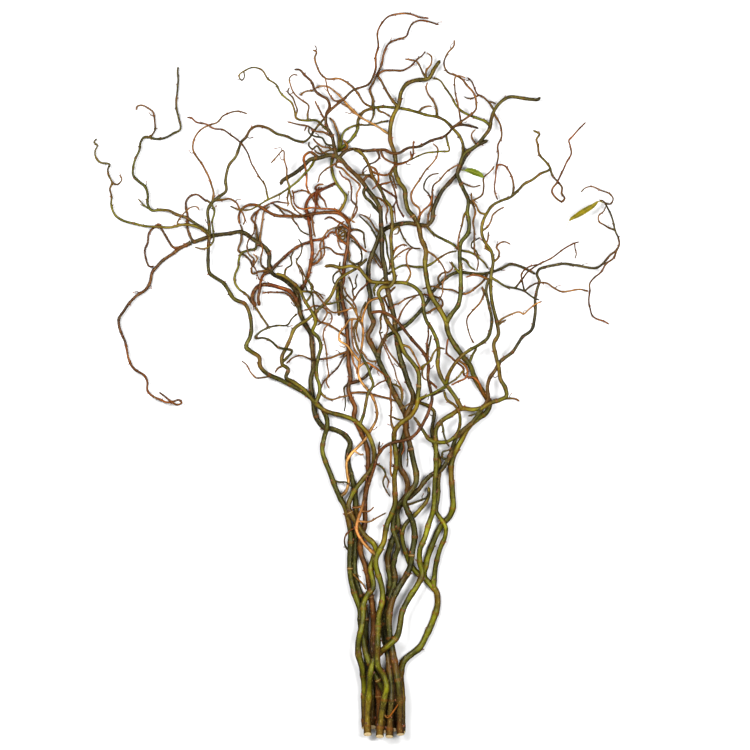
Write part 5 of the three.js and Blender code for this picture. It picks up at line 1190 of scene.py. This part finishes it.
class Surface:
    """A bmesh that limbs are added to, with the layers that the bark's finish reads."""

    def __init__(self) -> None:
        """Starts an empty mesh."""
        self.mesh = bmesh.new()
        layers = self.mesh.verts.layers
        # The tint layer holds the bark's colour with painted shade on the flanks and underside; the last
        # layer holds where the painted highlight's coat lies, on the upper side only.
        self.tint = layers.float_color.new("tint")
        self.wrap = layers.float_vector.new("wrap")
        self.scar = layers.float.new("scar")
        self.painted_sheen = layers.float.new("painted_sheen")

    def limb(self, line: Line, sides: int, scar: np.ndarray, slant: float = 0.0) -> None:
        """Rolls a grid round a line and closes its ends.

        Args:
            line: The line that the limb follows.
            sides: How many faces go round it.
            scar: How much of a bud scar lies at each point, from 0 to 1.
            slant: How far the first ring leans, as the tangent of the cut's angle.
        """
        rings = len(line.path)
        grid = bmesh.ops.create_grid(
            self.mesh, x_segments=rings - 1, y_segments=sides, size=1.0
        )["verts"]
        flat = np.array([v.co[:] for v in grid])
        ring = np.rint((flat[:, 0] + 1) / 2 * (rings - 1)).astype(int)
        angle = np.rint((flat[:, 1] + 1) / 2 * sides) % sides * (2 * math.pi / sides)
        along = line.along[ring]
        waves = (
            swing * np.sin(turns * angle + twist * along + number * line.shoot.order)
            for number, (swing, turns, twist) in enumerate(LUMPS)
        )
        lumps = sum(waves, 1.0)
        cos, sin = np.cos(angle), np.sin(angle)
        radius = line.radii[ring] * lumps
        place = (
            line.path[ring]
            + line.across[ring] * (cos * radius)[:, None]
            + line.side[ring] * (sin * radius)[:, None]
        )
        if slant:
            up = (place - line.path[ring])[:, 2]
            fade = np.clip(1 - along / (3.0 * line.radii[0]), 0, 1)
            place += line.tangent[ring] * (up * slant * fade)[:, None]
        place *= MM
        # Painted shade: the colour darkens and turns browner towards the flanks and underside, by how far
        # each face looks up.
        upward = line.across[ring][:, 2] * cos + line.side[ring][:, 2] * sin
        lit = smooth_step(0.0, FLANK_TOP, upward) ** FLANK_FALL
        shade = FLANK_SHADE + (1 - FLANK_SHADE) * lit
        tint = line.tint[ring] * shade[:, None] ** np.array(FLANK_SHADE_WARMTH)
        # Painted highlight: the coat is kept to the faces that look up.
        painted_sheen = smooth_step(PAINTED_SHEEN_START, PAINTED_SHEEN_FULL, upward)
        wrap = np.stack([cos * line.radii[ring], sin * line.radii[ring], along], axis=1)
        for number, vert in enumerate(grid):
            vert.co = place[number]
            at = ring[number]
            vert[self.tint] = (*tint[number], 1.0)
            vert[self.wrap] = wrap[number]
            vert[self.scar] = scar[at]
            vert[self.painted_sheen] = painted_sheen[number]
        bmesh.ops.remove_doubles(self.mesh, verts=grid, dist=1e-7)
        edges = [e for v in grid if v.is_valid for e in v.link_edges if e.is_boundary]
        bmesh.ops.holes_fill(self.mesh, edges=list(set(edges)), sides=0)

    def finish(self, name: str) -> bpy.types.Object:
        """Writes the mesh to a new object.

        Args:
            name: The object's name.

        Returns:
            The object, smooth shaded, with its place in its mesh.
        """
        bmesh.ops.recalc_face_normals(self.mesh, faces=self.mesh.faces)
        for face in self.mesh.faces:
            face.smooth = True
        data = bpy.data.meshes.new(name)
        self.mesh.to_mesh(data)
        self.mesh.free()
        piece = bpy.data.objects.new(name, data)
        bpy.context.scene.collection.objects.link(piece)
        return piece


class Wire:
    """A socket of a finish's node tree that sums can be written on."""

    def __init__(self, recipe: Recipe, socket: bpy.types.NodeSocket) -> None:
        """Keeps the tree and the socket."""
        self.recipe, self.socket = recipe, socket

    def _sum(self, operation: str, first: Wire | float, second: Wire | float) -> Wire:
        """Adds one Math node."""
        return self.recipe.add("ShaderNodeMath", {"operation": operation}, {0: first, 1: second})

    def __add__(self, other: Wire | float) -> Wire:
        """This plus other."""
        return self._sum("ADD", self, other)

    __radd__ = __add__

    def __sub__(self, other: Wire | float) -> Wire:
        """This minus other."""
        return self._sum("SUBTRACT", self, other)

    def __rsub__(self, other: Wire | float) -> Wire:
        """Other minus this."""
        return self._sum("SUBTRACT", other, self)

    def __mul__(self, other: Wire | float) -> Wire:
        """This times other."""
        return self._sum("MULTIPLY", self, other)

    __rmul__ = __mul__


class Recipe:
    """The node tree of one material."""

    def __init__(self, name: str) -> None:
        """Makes a material with an empty tree.

        Args:
            name: The material's name.
        """
        self.material = bpy.data.materials.new(name)
        self.material.use_nodes = True
        self.tree = self.material.node_tree
        self.tree.nodes.clear()

    def add(self, kind: str, settings: dict, sockets: dict, output: str | int = 0) -> Wire:
        """Adds a node.

        Args:
            kind: The node's type.
            settings: Its own settings, set first.
            sockets: A value or a wire for each input, by name or number.
            output: The output that is handed back, by name or number.

        Returns:
            The wire of that output.
        """
        node = self.tree.nodes.new(kind)
        for key, value in settings.items():
            setattr(node, key, value)
        for key, value in sockets.items():
            if isinstance(value, Wire):
                self.tree.links.new(value.socket, node.inputs[key])
            else:
                node.inputs[key].default_value = value
        return Wire(self, node.outputs[output])

    def attribute(self, name: str, output: str) -> Wire:
        """A mesh attribute."""
        return self.add("ShaderNodeAttribute", {"attribute_name": name}, {}, output)

    def place(self) -> Wire:
        """Object coordinates."""
        return self.add("ShaderNodeTexCoord", {}, {}, "Object")

    def scaled(self, vector: Wire, scale: tuple[float, float, float]) -> Wire:
        """A vector stretched along its axes."""
        settings = {"operation": "MULTIPLY"}
        return self.add("ShaderNodeVectorMath", settings, {0: vector, 1: scale})

    def noise(self, vector: Wire, scale: float, detail: float = 2.0) -> Wire:
        """Cloudy noise from 0 to 1."""
        sockets = {"Vector": vector, "Scale": scale, "Detail": detail, "Roughness": 0.6}
        return self.add("ShaderNodeTexNoise", {}, sockets)

    def spots(self, vector: Wire, scale: float) -> Wire:
        """The distance to the nearest of many scattered points."""
        sockets = {"Vector": vector, "Scale": scale}
        return self.add("ShaderNodeTexVoronoi", {}, sockets, "Distance")

    def function(self, operation: str, value: Wire) -> Wire:
        """A Math function of one value."""
        return self.add("ShaderNodeMath", {"operation": operation}, {0: value})

    def step(self, value: Wire, low: float, high: float) -> Wire:
        """A smooth step from 0 to 1, or down from 1 to 0 if low is above high.

        Args:
            value: What is stepped.
            low: Where the step is 0.
            high: Where it is 1.

        Returns:
            The step's wire.
        """
        turned = low > high
        sockets = {0: value, 1: min(low, high), 2: max(low, high)}
        sockets[3], sockets[4] = (1.0, 0.0) if turned else (0.0, 1.0)
        settings = {"interpolation_type": "SMOOTHSTEP"}
        return self.add("ShaderNodeMapRange", settings, sockets)

    def mix(self, share: Wire, first: Wire | Colour, second: Wire | Colour) -> Wire:
        """A mix of two colours.

        Args:
            share: The share of the second colour.
            first: The first colour.
            second: The second colour.

        Returns:
            The mixed colour's wire.
        """
        first, second = (c if isinstance(c, Wire) else (*c, 1.0) for c in (first, second))
        sockets = {0: share, 6: first, 7: second}
        return self.add("ShaderNodeMix", {"data_type": "RGBA"}, sockets, 2)

    def close(
        self, colour: Wire, roughness: Wire | float, height: Wire, depth: float,
        **others: Wire | float,
    ) -> bpy.types.Material:
        """Ends the tree in a Principled BSDF.

        Args:
            colour: The base colour.
            roughness: The roughness.
            height: The height that the bump comes from.
            depth: The bump's depth in metres.
            others: What goes to other sockets, by their names with _ for a space.

        Returns:
            The finished material.
        """
        bump = self.add(
            "ShaderNodeBump", {}, {"Strength": 1.0, "Distance": depth, "Height": height}, "Normal"
        )
        sockets = {"Base Color": colour, "Roughness": roughness, "Normal": bump}
        sockets.update({key.replace("_", " "): value for key, value in others.items()})
        shader = self.add("ShaderNodeBsdfPrincipled", {}, sockets)
        output = self.tree.nodes.new("ShaderNodeOutputMaterial")
        self.tree.links.new(shader.socket, output.inputs["Surface"])
        return self.material


@dataclass(frozen=True)
class BarkFinish:
    """Smooth willow bark: blotches, long streaks, pale lenticels and tan rings at the scars."""

    name: str = "willow_bark"
    blotch: Colour = linear(104, 58, 16)
    blotch_share: float = 0.42
    lenticel: Colour = linear(176, 160, 92)
    dot_share: float = 0.3
    fleck_share: float = 0.28
    pale_share: float = 0.16
    ring: Colour = linear(186, 160, 98)
    ring_share: float = 0.7
    patch: Colour = linear(112, 58, 18)
    grime: Colour = linear(26, 22, 8)
    grime_share: float = 0.6
    roughness: float = 0.7
    relief: float = 0.0006
    sheen_least: float = 0.02
    sheen_swing: float = 0.26
    sheen_roughness: float = 0.3
    sheen_ior: float = 1.42
    specular: float = 0.03

    def make(self) -> bpy.types.Material:
        """Builds the material.

        Returns:
            The finished material.
        """
        r = Recipe(self.name)
        place, wrap = r.place(), r.attribute("wrap", "Vector")
        # The tint attribute already holds painted shade on the flanks and underside.
        tint, scar = r.attribute("tint", "Color"), r.attribute("scar", "Fac")
        warm = r.step(r.noise(place, 16.0, 2.0), 0.52, 0.66)
        dark = r.step(r.noise(place, 110.0, 3.0), 0.46, 0.68)
        streaks = r.noise(r.scaled(wrap, (0.9, 0.9, 0.06)), 1.4, 3.0)
        fine = r.noise(r.scaled(wrap, (1.4, 1.4, 0.5)), 1.8, 2.0)
        dots = r.step(r.spots(r.scaled(wrap, (0.7, 0.7, 0.36)), 1.0), 0.24, 0.14)
        flecks = r.step(r.spots(r.scaled(wrap, (0.24, 0.24, 0.11)), 1.0), 0.2, 0.12)
        colour = r.mix(warm * self.blotch_share, tint, self.blotch)
        colour = r.mix(dark * self.grime_share, colour, self.grime)
        colour = r.mix(r.step(streaks, 0.5, 0.7) * self.grime_share, colour, self.grime)
        colour = r.mix(r.step(streaks, 0.46, 0.3) * self.pale_share, colour, self.lenticel)
        colour = r.mix(dots * self.dot_share, colour, self.lenticel)
        colour = r.mix(flecks * self.fleck_share, colour, self.lenticel)
        around = r.step(scar, 0.2, 0.5) * r.step(fine, 0.4, 0.6)
        colour = r.mix(around * self.ring_share, colour, self.patch)
        colour = r.mix(r.step(scar, 0.84, 0.95) * self.ring_share, colour, self.ring)
        rough_scar = scar * r.noise(place, 900.0)
        height = streaks * 0.6 + fine * 0.45 + dots * 0.4 + rough_scar * 1.2
        # Painted highlight: the coat lies only on the upper side of each limb, where the lamps reflect.
        painted_sheen = r.attribute("painted_sheen", "Fac") * (self.sheen_least + fine * self.sheen_swing)
        return r.close(
            colour, self.roughness, height, self.relief, Specular_IOR_Level=self.specular,
            Coat_Weight=painted_sheen, Coat_Roughness=self.sheen_roughness, Coat_IOR=self.sheen_ior,
        )


@dataclass(frozen=True)
class BudFinish:
    """Small dark buds with a warmer tip."""

    name: str = "willow_bud"
    base: Colour = linear(74, 40, 26)
    tip: Colour = linear(126, 66, 34)
    relief: float = 0.0001

    def make(self) -> bpy.types.Material:
        """Builds the material.

        Returns:
            The finished material.
        """
        r = Recipe(self.name)
        place = r.place()
        colour = r.mix(r.step(r.noise(place, 160.0), 0.42, 0.62), self.base, self.tip)
        fine = r.noise(place, 1400.0, 2.0)
        return r.close(colour, fine * 0.2 + 0.4, fine, self.relief)


@dataclass(frozen=True)
class CutFinish:
    """A pale, freshly cut face: pith, fine rays, growth rings and a green rim under the bark."""

    name: str = "cut_wood"
    wood: Colour = linear(246, 216, 160)
    ring: Colour = linear(222, 176, 108)
    rim: Colour = linear(150, 132, 52)
    pith: Colour = linear(176, 122, 70)
    ring_turns: float = 26.0
    relief: float = 0.0002

    def make(self) -> bpy.types.Material:
        """Builds the material.

        Returns:
            The finished material.
        """
        r = Recipe(self.name)
        core = r.attribute("scar", "Fac")
        rings = r.function("SINE", core * self.ring_turns)
        fine = r.noise(r.place(), 1800.0, 3.0)
        colour = r.mix(r.step(rings, 0.2, 1.0) * 0.4, self.wood, self.ring)
        colour = r.mix(r.step(fine, 0.5, 0.75) * 0.35, colour, self.ring)
        colour = r.mix(r.step(core, 0.12, 0.06), colour, self.pith)
        colour = r.mix(r.step(core, 0.86, 0.94), colour, self.rim)
        return r.close(colour, 0.75 + fine * 0.1, fine + rings * 0.3, self.relief)


@dataclass(frozen=True)
class LeafFinish:
    """A thin leaf with a pale midrib, side veins and browner patches."""

    name: str
    blade: Colour
    patch: Colour
    vein: Colour
    patch_share: float
    vein_share: float = 0.3
    rib_share: float = 0.75
    relief: float = 0.0003
    specular: float = 0.12

    def make(self) -> bpy.types.Material:
        """Builds the material.

        Returns:
            The finished material.
        """
        r = Recipe(self.name)
        across = r.add("ShaderNodeSeparateXYZ", {}, {0: r.attribute("wrap", "Vector")})
        along = Wire(r, across.socket.node.outputs[1])
        away = r.function("ABSOLUTE", across)
        rib = r.step(away, 0.16, 0.05)
        veins = r.step(r.function("SINE", along * 2.4 - away * 5.0), 0.75, 0.98)
        cloud = r.noise(r.place(), 130.0, 3.0)
        colour = r.mix(r.step(cloud, 0.45, 0.62) * self.patch_share, self.blade, self.patch)
        colour = r.mix(veins * self.vein_share, colour, self.vein)
        colour = r.mix(rib * self.rib_share, colour, self.vein)
        height = rib * -0.8 + veins * -0.3 + r.noise(r.place(), 900.0) * 0.25
        rough = cloud * 0.1 + 0.5
        return r.close(colour, rough, height, self.relief, Specular_IOR_Level=self.specular)


@dataclass
class Finishes:
    """The materials that the pieces share."""

    bark: bpy.types.Material = field(default_factory=lambda: BarkFinish().make())
    bud: bpy.types.Material = field(default_factory=lambda: BudFinish().make())
    cut: bpy.types.Material = field(default_factory=lambda: CutFinish().make())


def hand_in(
    piece: bpy.types.Object, node: str, material: bpy.types.Material
) -> None:
    """Dresses a piece and ties it to the frame.

    Args:
        piece: The piece.
        node: The solid that it stands for.
        material: Its material.
    """
    piece.data.materials.append(material)
    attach(piece, ROOT_BODY)
    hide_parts(node)
    LOG.info("%s: %d faces", piece.name, len(piece.data.polygons))


@dataclass
class Stem:
    """One cut stem with all its side shoots, buds, scars and spurs."""

    name: str
    slot: str
    shoots: list[Shoot]
    finishes: Finishes
    seed: int
    slant: float = 0.62
    butt_reach: float = 9.0
    collar: float = 0.4
    spur_thickest: float = 3.1
    spur_share: float = 0.14
    zig_zag: float = 0.5
    worn: float = 0.7
    worn_reach: float = 42.0
    worn_wood: Colour = linear(104, 62, 26)
    blend_reach: float = 14.0

    def build(self) -> None:
        """Builds the stem's bark, buds and cut face."""
        self.chance = random.Random(self.seed)
        self.lines: dict[str, Line] = {}
        bark, buds = Surface(), Surface()
        for shoot in self.shoots:
            line = self._line(shoot)
            self.lines[shoot.name] = line
            slant = 0.0 if shoot.parent else self.slant
            bark.limb(line, self._sides(float(line.radii.max())), self._scars(line), slant)
            self._dress_nodes(line, bark, buds)
        hand_in(bark.finish(self.name + "_bark"), self.name, self.finishes.bark)
        hand_in(buds.finish(self.name + "_buds"), self.name, self.finishes.bud)
        self._cut_face(self.lines["main"])

    @staticmethod
    def _sides(radius: float) -> int:
        """How many faces go round a limb of this radius."""
        return 16 if radius > 3.5 else 10 if radius > 1.8 else 7

    def _line(self, shoot: Shoot) -> Line:
        """Works out the smooth line of one shoot.

        Args:
            shoot: The shoot. Its parent's line is there already.

        Returns:
            The line, with its radii, colours and nodes.
        """
        points = shoot.drawn_points()
        parent = self.lines.get(shoot.parent.name) if shoot.parent else None
        if parent is not None:
            run, share, place = nearest(parent.path[:, :2], points[0, :2])
            points[0] = parent.path[run] + (parent.path[run + 1] - parent.path[run]) * share
        fine = shoot.start_radius < COARSE_RADIUS
        path = spline(points, FINE_SPACING if fine else COARSE_SPACING)
        steps = np.linalg.norm(np.diff(path, axis=0), axis=1)
        along = np.concatenate([[0.0], np.cumsum(steps)])
        length = along[-1]
        share = (along / length) ** TAPER
        radii = shoot.start_radius + (shoot.tip_radius - shoot.start_radius) * share
        nodes = self._nodes(along, radii)
        self._zig_zag(path, along, nodes)
        for node in nodes:
            here = radii[np.searchsorted(along, node)]
            swell = 0.1 + 0.2 / here
            radii = radii * (1 + swell * np.exp(-(((along - node) / (0.8 * here + 0.5)) ** 2)))
        if parent is not None:
            reach = 1.5 * shoot.start_radius + 1.0
            radii = radii * (1 + self.collar * np.exp(-along / reach))
        else:
            radii = radii * (1 + (BUTT_FLARE - 1) * np.exp(-along / self.butt_reach))
        end = np.clip((length - along) / (1.6 * shoot.tip_radius), 0.0, 1.0)
        radii = np.maximum(radii * np.sqrt(1 - (1 - end) ** 2), 0.03)
        path[:, 2] = np.maximum(path[:, 2], radii + FLOOR_CLEAR)
        return Line(shoot, path, radii, self._tints(shoot, parent, along), nodes)

    def _zig_zag(self, path: np.ndarray, along: np.ndarray, nodes: list[float]) -> None:
        """Turns a path a little to one side at a node and to the other at the next.

        Args:
            path: The path's points, which are moved.
            along: The distance of each along the path.
            nodes: The distances of the nodes.
        """
        flat = np.gradient(path[:, :2], axis=0)
        flat /= np.maximum(np.linalg.norm(flat, axis=1), 1e-9)[:, None]
        bends = [
            self.zig_zag * (-1) ** k * self.chance.uniform(0.4, 1.3) for k in range(len(nodes))
        ]
        offset = np.interp(along, [0.0, *nodes, along[-1]], [0.0, *bends, 0.0])
        path[:, 0] -= flat[:, 1] * offset
        path[:, 1] += flat[:, 0] * offset

    def _nodes(self, along: np.ndarray, radii: np.ndarray) -> list[float]:
        """Places a shoot's nodes, far apart where it is thick and close where it is thin.

        Args:
            along: The distance of each point along the shoot.
            radii: The radius at each point.

        Returns:
            The distances of the nodes.
        """
        nodes, distance = [], self.chance.uniform(8.0, 14.0)
        while distance < along[-1] - 3.0:
            nodes.append(distance)
            here = radii[min(np.searchsorted(along, distance), len(radii) - 1)]
            distance += (10.0 + 5.0 * here) * self.chance.uniform(0.7, 1.35)
        return nodes

    def _tints(self, shoot: Shoot, parent: Line | None, along: np.ndarray) -> np.ndarray:
        """The bark's colour along a shoot, which starts as its parent's and turns its own.

        Args:
            shoot: The shoot.
            parent: Its parent's line, or None for a main shoot.
            along: The distance of each point along the shoot.

        Returns:
            A linear colour for each point.
        """
        share = smooth_step(0.15, shoot.bark.turn, along / along[-1])[:, None]
        own = shoot.bark.old * (1 - share) + shoot.bark.young * share
        drift = sum(
            swing * np.sin(along / length + shoot.order * (turn + 1))
            for turn, (swing, length) in enumerate(DRIFTS)
        )
        own = own * np.exp(drift)[:, None]
        if parent is None:
            worn = self.worn * np.exp(-((along / self.worn_reach) ** 2))[:, None]
            return own * (1 - worn) + np.array(self.worn_wood) * worn
        start = parent.tint[nearest(parent.path, self._first(shoot, parent))[0]]
        fade = np.exp(-along / self.blend_reach)[:, None]
        return own * (1 - fade) + start * fade

    @staticmethod
    def _first(shoot: Shoot, parent: Line) -> np.ndarray:
        """The place on the parent's line that a shoot grows from."""
        flat = nearest(parent.path[:, :2], shoot.drawn[0])
        return parent.path[flat[0]]

    @staticmethod
    def _scars(line: Line) -> np.ndarray:
        """How much of a bud scar lies at each point of a line.

        Args:
            line: The line.

        Returns:
            A share from 0 to 1 for each point.
        """
        scar = np.zeros(len(line.path))
        for number, node in enumerate(line.nodes):
            here = line.radii[line.at(node)]
            width = 0.7 + 0.28 * here
            strength = 0.62 + 0.38 * math.sin(5.1 * number + line.shoot.order)
            scar = np.maximum(scar, strength * np.exp(-(((line.along - node) / width) ** 2)))
        return scar * np.clip(line.radii / 4.0, 0.15, 1.0)

    def _dress_nodes(self, line: Line, bark: Surface, buds: Surface) -> None:
        """Sets a bud on each node, and now and then a short spur with a bud at its end.

        Args:
            line: The line of the shoot.
            bark: The surface that the spurs are added to.
            buds: The surface that the buds are added to.
        """
        turn = self.chance.uniform(0, 2 * math.pi)
        for node in line.nodes:
            turn += math.radians(144) + self.chance.uniform(-0.3, 0.3)
            at = line.at(node)
            out = line.across[at] * math.cos(turn) + line.side[at] * math.sin(turn)
            radius = line.radii[at]
            foot = line.path[at] + out * radius * 0.75
            lean = line.tangent[at] * 0.9 + out * 0.75
            size = 0.85 + 0.2 * radius
            if radius < self.spur_thickest and self.chance.random() < self.spur_share:
                foot, lean = self._spur(line, at, foot, out, bark)
            self._bud(buds, foot, lean, size)

    def _spur(
        self, line: Line, at: int, foot: np.ndarray, out: np.ndarray, bark: Surface
    ) -> tuple[np.ndarray, np.ndarray]:
        """Adds a short spur.

        Args:
            line: The line of the shoot that it grows from.
            at: The number of the point of that line.
            foot: The place on the bark.
            out: The direction that leads straight out of the shoot.
            bark: The surface that the spur is added to.

        Returns:
            The place and the direction of the bud at its end.
        """
        reach = self.chance.uniform(3.0, 9.0)
        flat = np.array([out[0], out[1], out[2] * 0.35])
        bend = line.tangent[at] * self.chance.uniform(0.2, 1.1)
        points = np.array(
            [foot - out * 0.4, foot + flat * reach * 0.45, foot + (flat + bend) * reach * 0.8]
        )
        points[:, 2] = np.maximum(points[:, 2], 0.7)
        path = spline(points, 1.6)
        radii = np.linspace(0.8, 0.55, len(path))
        tint = np.repeat(line.tint[at : at + 1] * 0.9, len(path), axis=0)
        spur = Line(line.shoot, path, radii, tint, [])
        bark.limb(spur, 6, np.zeros(len(path)))
        return path[-1], spur.tangent[-1]

    @staticmethod
    def _bud(buds: Surface, foot: np.ndarray, lean: np.ndarray, size: float) -> None:
        """Adds one bud: a small egg that leans out from its shoot.

        Args:
            buds: The surface that the bud is added to.
            foot: The place that it grows from.
            lean: The direction that it points in.
            size: Its length in millimetres, about.
        """
        direction = Vector(lean).normalized()
        middle = Vector(foot) + direction * size * 0.9
        middle.z = max(middle.z, size)
        turn = direction.to_track_quat("Z", "Y").to_matrix().to_4x4()
        stretch = Matrix.Diagonal((size * 0.72, size * 0.6, size * 1.5, 1.0))
        bmesh.ops.create_uvsphere(
            buds.mesh, u_segments=6, v_segments=5, radius=MM,
            matrix=Matrix.Translation(middle * MM) @ turn @ stretch,
        )

    def _cut_face(self, line: Line) -> None:
        """Closes the butt with a slanted, slightly crowned face of bare wood.

        Args:
            line: The line of the main shoot.
        """
        face = Surface()
        rings, sides = 8, 24
        grid = bmesh.ops.create_grid(
            face.mesh, x_segments=rings, y_segments=sides, size=1.0
        )["verts"]
        radius = line.radii[0] * 0.97
        for vert in grid:
            core = (vert.co.x + 1) / 2
            angle = round((vert.co.y + 1) / 2 * sides) % sides * (2 * math.pi / sides)
            flat = line.across[0] * math.cos(angle) + line.side[0] * math.sin(angle)
            place = line.path[0] + flat * radius * core
            lift = (place - line.path[0])[2] * self.slant
            crown = 0.25 + 0.25 * (1 - core * core)
            vert.co = (place + line.tangent[0] * (lift - crown)) * MM
            vert[face.scar] = core
        bmesh.ops.remove_doubles(face.mesh, verts=grid, dist=1e-7)
        bmesh.ops.solidify(face.mesh, geom=face.mesh.faces[:], thickness=0.0002)
        hand_in(face.finish(self.name + "_cut"), self.name, self.finishes.cut)


@dataclass
class Leaf:
    """One narrow willow leaf: a folded, arching blade on a round stalk."""

    node: str
    half_width: float
    blade_end: float
    slot: str
    route: str
    finish: LeafFinish
    fullness: float = 0.5
    fold: float = 0.34
    wave: float = 0.5
    stalk: float = 0.7
    stalk_end: float = 0.12
    teeth: float = 0.05
    thickness: float = 0.00022

    def build(self) -> None:
        """Builds the leaf."""
        low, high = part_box(self.node)
        level = (low[2] + high[2]) / 2 / MM
        plan = places([self.route])
        points = np.column_stack([plan, np.full(len(plan), level)])
        path = spline(points, 1.2)
        tangent, across, side = frames(path)
        rows, columns = len(path), 12
        surface = Surface()
        grid = bmesh.ops.create_grid(
            surface.mesh, x_segments=rows - 1, y_segments=columns, size=1.0
        )["verts"]
        for vert in grid:
            row = round((vert.co.x + 1) / 2 * (rows - 1))
            off, share = vert.co.y, row / (rows - 1)
            width = self._half_width(share, off)
            wave = self.wave * math.sin(share * 9.0 + off * 1.5)
            lift = self.fold * abs(off) * width + wave
            place = path[row] + across[row] * off * width
            place = place + np.array([0.0, 0.0, lift - 0.3])
            vert.co = place * MM
            vert[surface.wrap] = (off, share * 30.0, 0.0)
        bmesh.ops.solidify(
            surface.mesh, geom=surface.mesh.faces[:], thickness=self.thickness
        )
        piece = surface.finish(self.node + "_blade")
        hand_in(piece, self.node, self.finish.make())

    def _half_width(self, share: float, off: float) -> float:
        """The blade's half width, with fine teeth along its edges.

        Args:
            share: The share of the way from the stalk to the tip.
            off: How far to the side, from -1 to 1.

        Returns:
            The half width in millimetres, never less than the stalk's.
        """
        inside = (share - self.stalk_end) / (self.blade_end - self.stalk_end)
        inside = min(1.0, max(0.0, inside))
        blade = self.half_width * math.sin(math.pi * inside) ** self.fullness
        teeth = 1 + self.teeth * math.sin(share * 150.0) * abs(off) ** 6
        return max(self.stalk * (1 - share / 2), blade * teeth)


@dataclass
class Studio:
    """The pale floor, the soft lights at both sides and the camera overhead."""

    middle: tuple[float, float] = (0.0279, -0.0006)
    view_width: float = 1.125
    camera_height: float = 6.0
    sensor: float = 36.0
    lamps: tuple[tuple[str, float, float, float], ...] = (
        ("left", -0.8, 0.45, 68.0), ("right", 0.8, 0.0, 56.0),
    )
    lamp_height: float = 2.1
    sky: float = 0.2
    paper: tuple[float, float] = (0.69, 0.71)

    def camera(self) -> None:
        """Hangs the camera over the bunch, looking straight down."""
        data = bpy.data.cameras.new("camera")
        data.sensor_width = self.sensor
        data.lens = self.sensor * self.camera_height / self.view_width
        data.clip_end = 50.0
        camera = bpy.data.objects.new("camera", data)
        camera.location = (*self.middle, self.camera_height)
        bpy.context.scene.collection.objects.link(camera)
        bpy.context.scene.camera = camera

    def lights(self) -> None:
        """Sets two large soft lights at the sides and an even white sky."""
        for name, x, y, power in self.lamps:
            data = bpy.data.lights.new(name + "_light", "AREA")
            data.shape, data.size, data.size_y = "RECTANGLE", 0.5, 0.8
            data.energy = power
            lamp = bpy.data.objects.new(name + "_light", data)
            lamp.location = (x, y, self.lamp_height)
            aim = Vector((0.0, 0.05, 0.0)) - lamp.location
            lamp.rotation_euler = aim.to_track_quat("-Z", "Y").to_euler()
            bpy.context.scene.collection.objects.link(lamp)
        world = bpy.data.worlds.new("sky")
        world.use_nodes = True
        sky = world.node_tree.nodes["Background"]
        sky.inputs["Color"].default_value = (1.0, 1.0, 1.0, 1.0)
        sky.inputs["Strength"].default_value = self.sky
        bpy.context.scene.world = world
        bpy.context.scene.view_settings.view_transform = "Standard"

    def floor(self) -> None:
        """Lays a wide white floor under the bunch."""
        mesh = bmesh.new()
        bmesh.ops.create_grid(mesh, x_segments=2, y_segments=2, size=6.0)
        data = bpy.data.meshes.new("floor")
        mesh.to_mesh(data)
        mesh.free()
        recipe = Recipe("floor_paper")
        grain = recipe.noise(recipe.place(), 300.0, 2.0)
        dim, bright = ((level,) * 3 for level in self.paper)
        colour = recipe.mix(grain, dim, bright)
        data.materials.append(recipe.close(colour, 0.9, grain, 0.00002))
        floor = bpy.data.objects.new("floor", data)
        bpy.context.scene.collection.objects.link(floor)


SLOTS = {
    "stem_1": "dark_bark", "stem_2": "brown_bark", "stem_3": "dark_bark",
    "stem_7": "dark_bark", "stem_8": "dark_bark",
}

LEAF_FINISHES = {
    "leaf_green": LeafFinish(
        "green_leaf", linear(86, 98, 10), linear(52, 60, 10), linear(130, 134, 40), 0.6
    ),
    "leaf_yellow": LeafFinish(
        "yellow_leaf", linear(112, 100, 6), linear(70, 68, 8), linear(140, 120, 22), 0.7
    ),
}


# The number that the first stem's random draws start from.
FIRST_SEED = 11


def main() -> None:
    """Builds the studio, the pile and every piece in order."""
    logging.basicConfig(level=logging.INFO, format="%(name)s: %(message)s")
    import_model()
    studio = Studio()
    studio.camera()
    studio.lights()
    studio.floor()
    pile = Pile()
    finishes = Finishes()
    for number, (name, _) in enumerate(STEMS):
        shoots = [shoot for shoot in pile.shoots if shoot.stem == name]
        slot = SLOTS.get(name, "olive_bark")
        Stem(name, slot, shoots, finishes, FIRST_SEED + number).build()
    for node, half_width, blade_end, slot, route in LEAVES:
        Leaf(node, half_width, blade_end, slot, route, LEAF_FINISHES[node]).build()


if __name__ == "__main__":
    main()
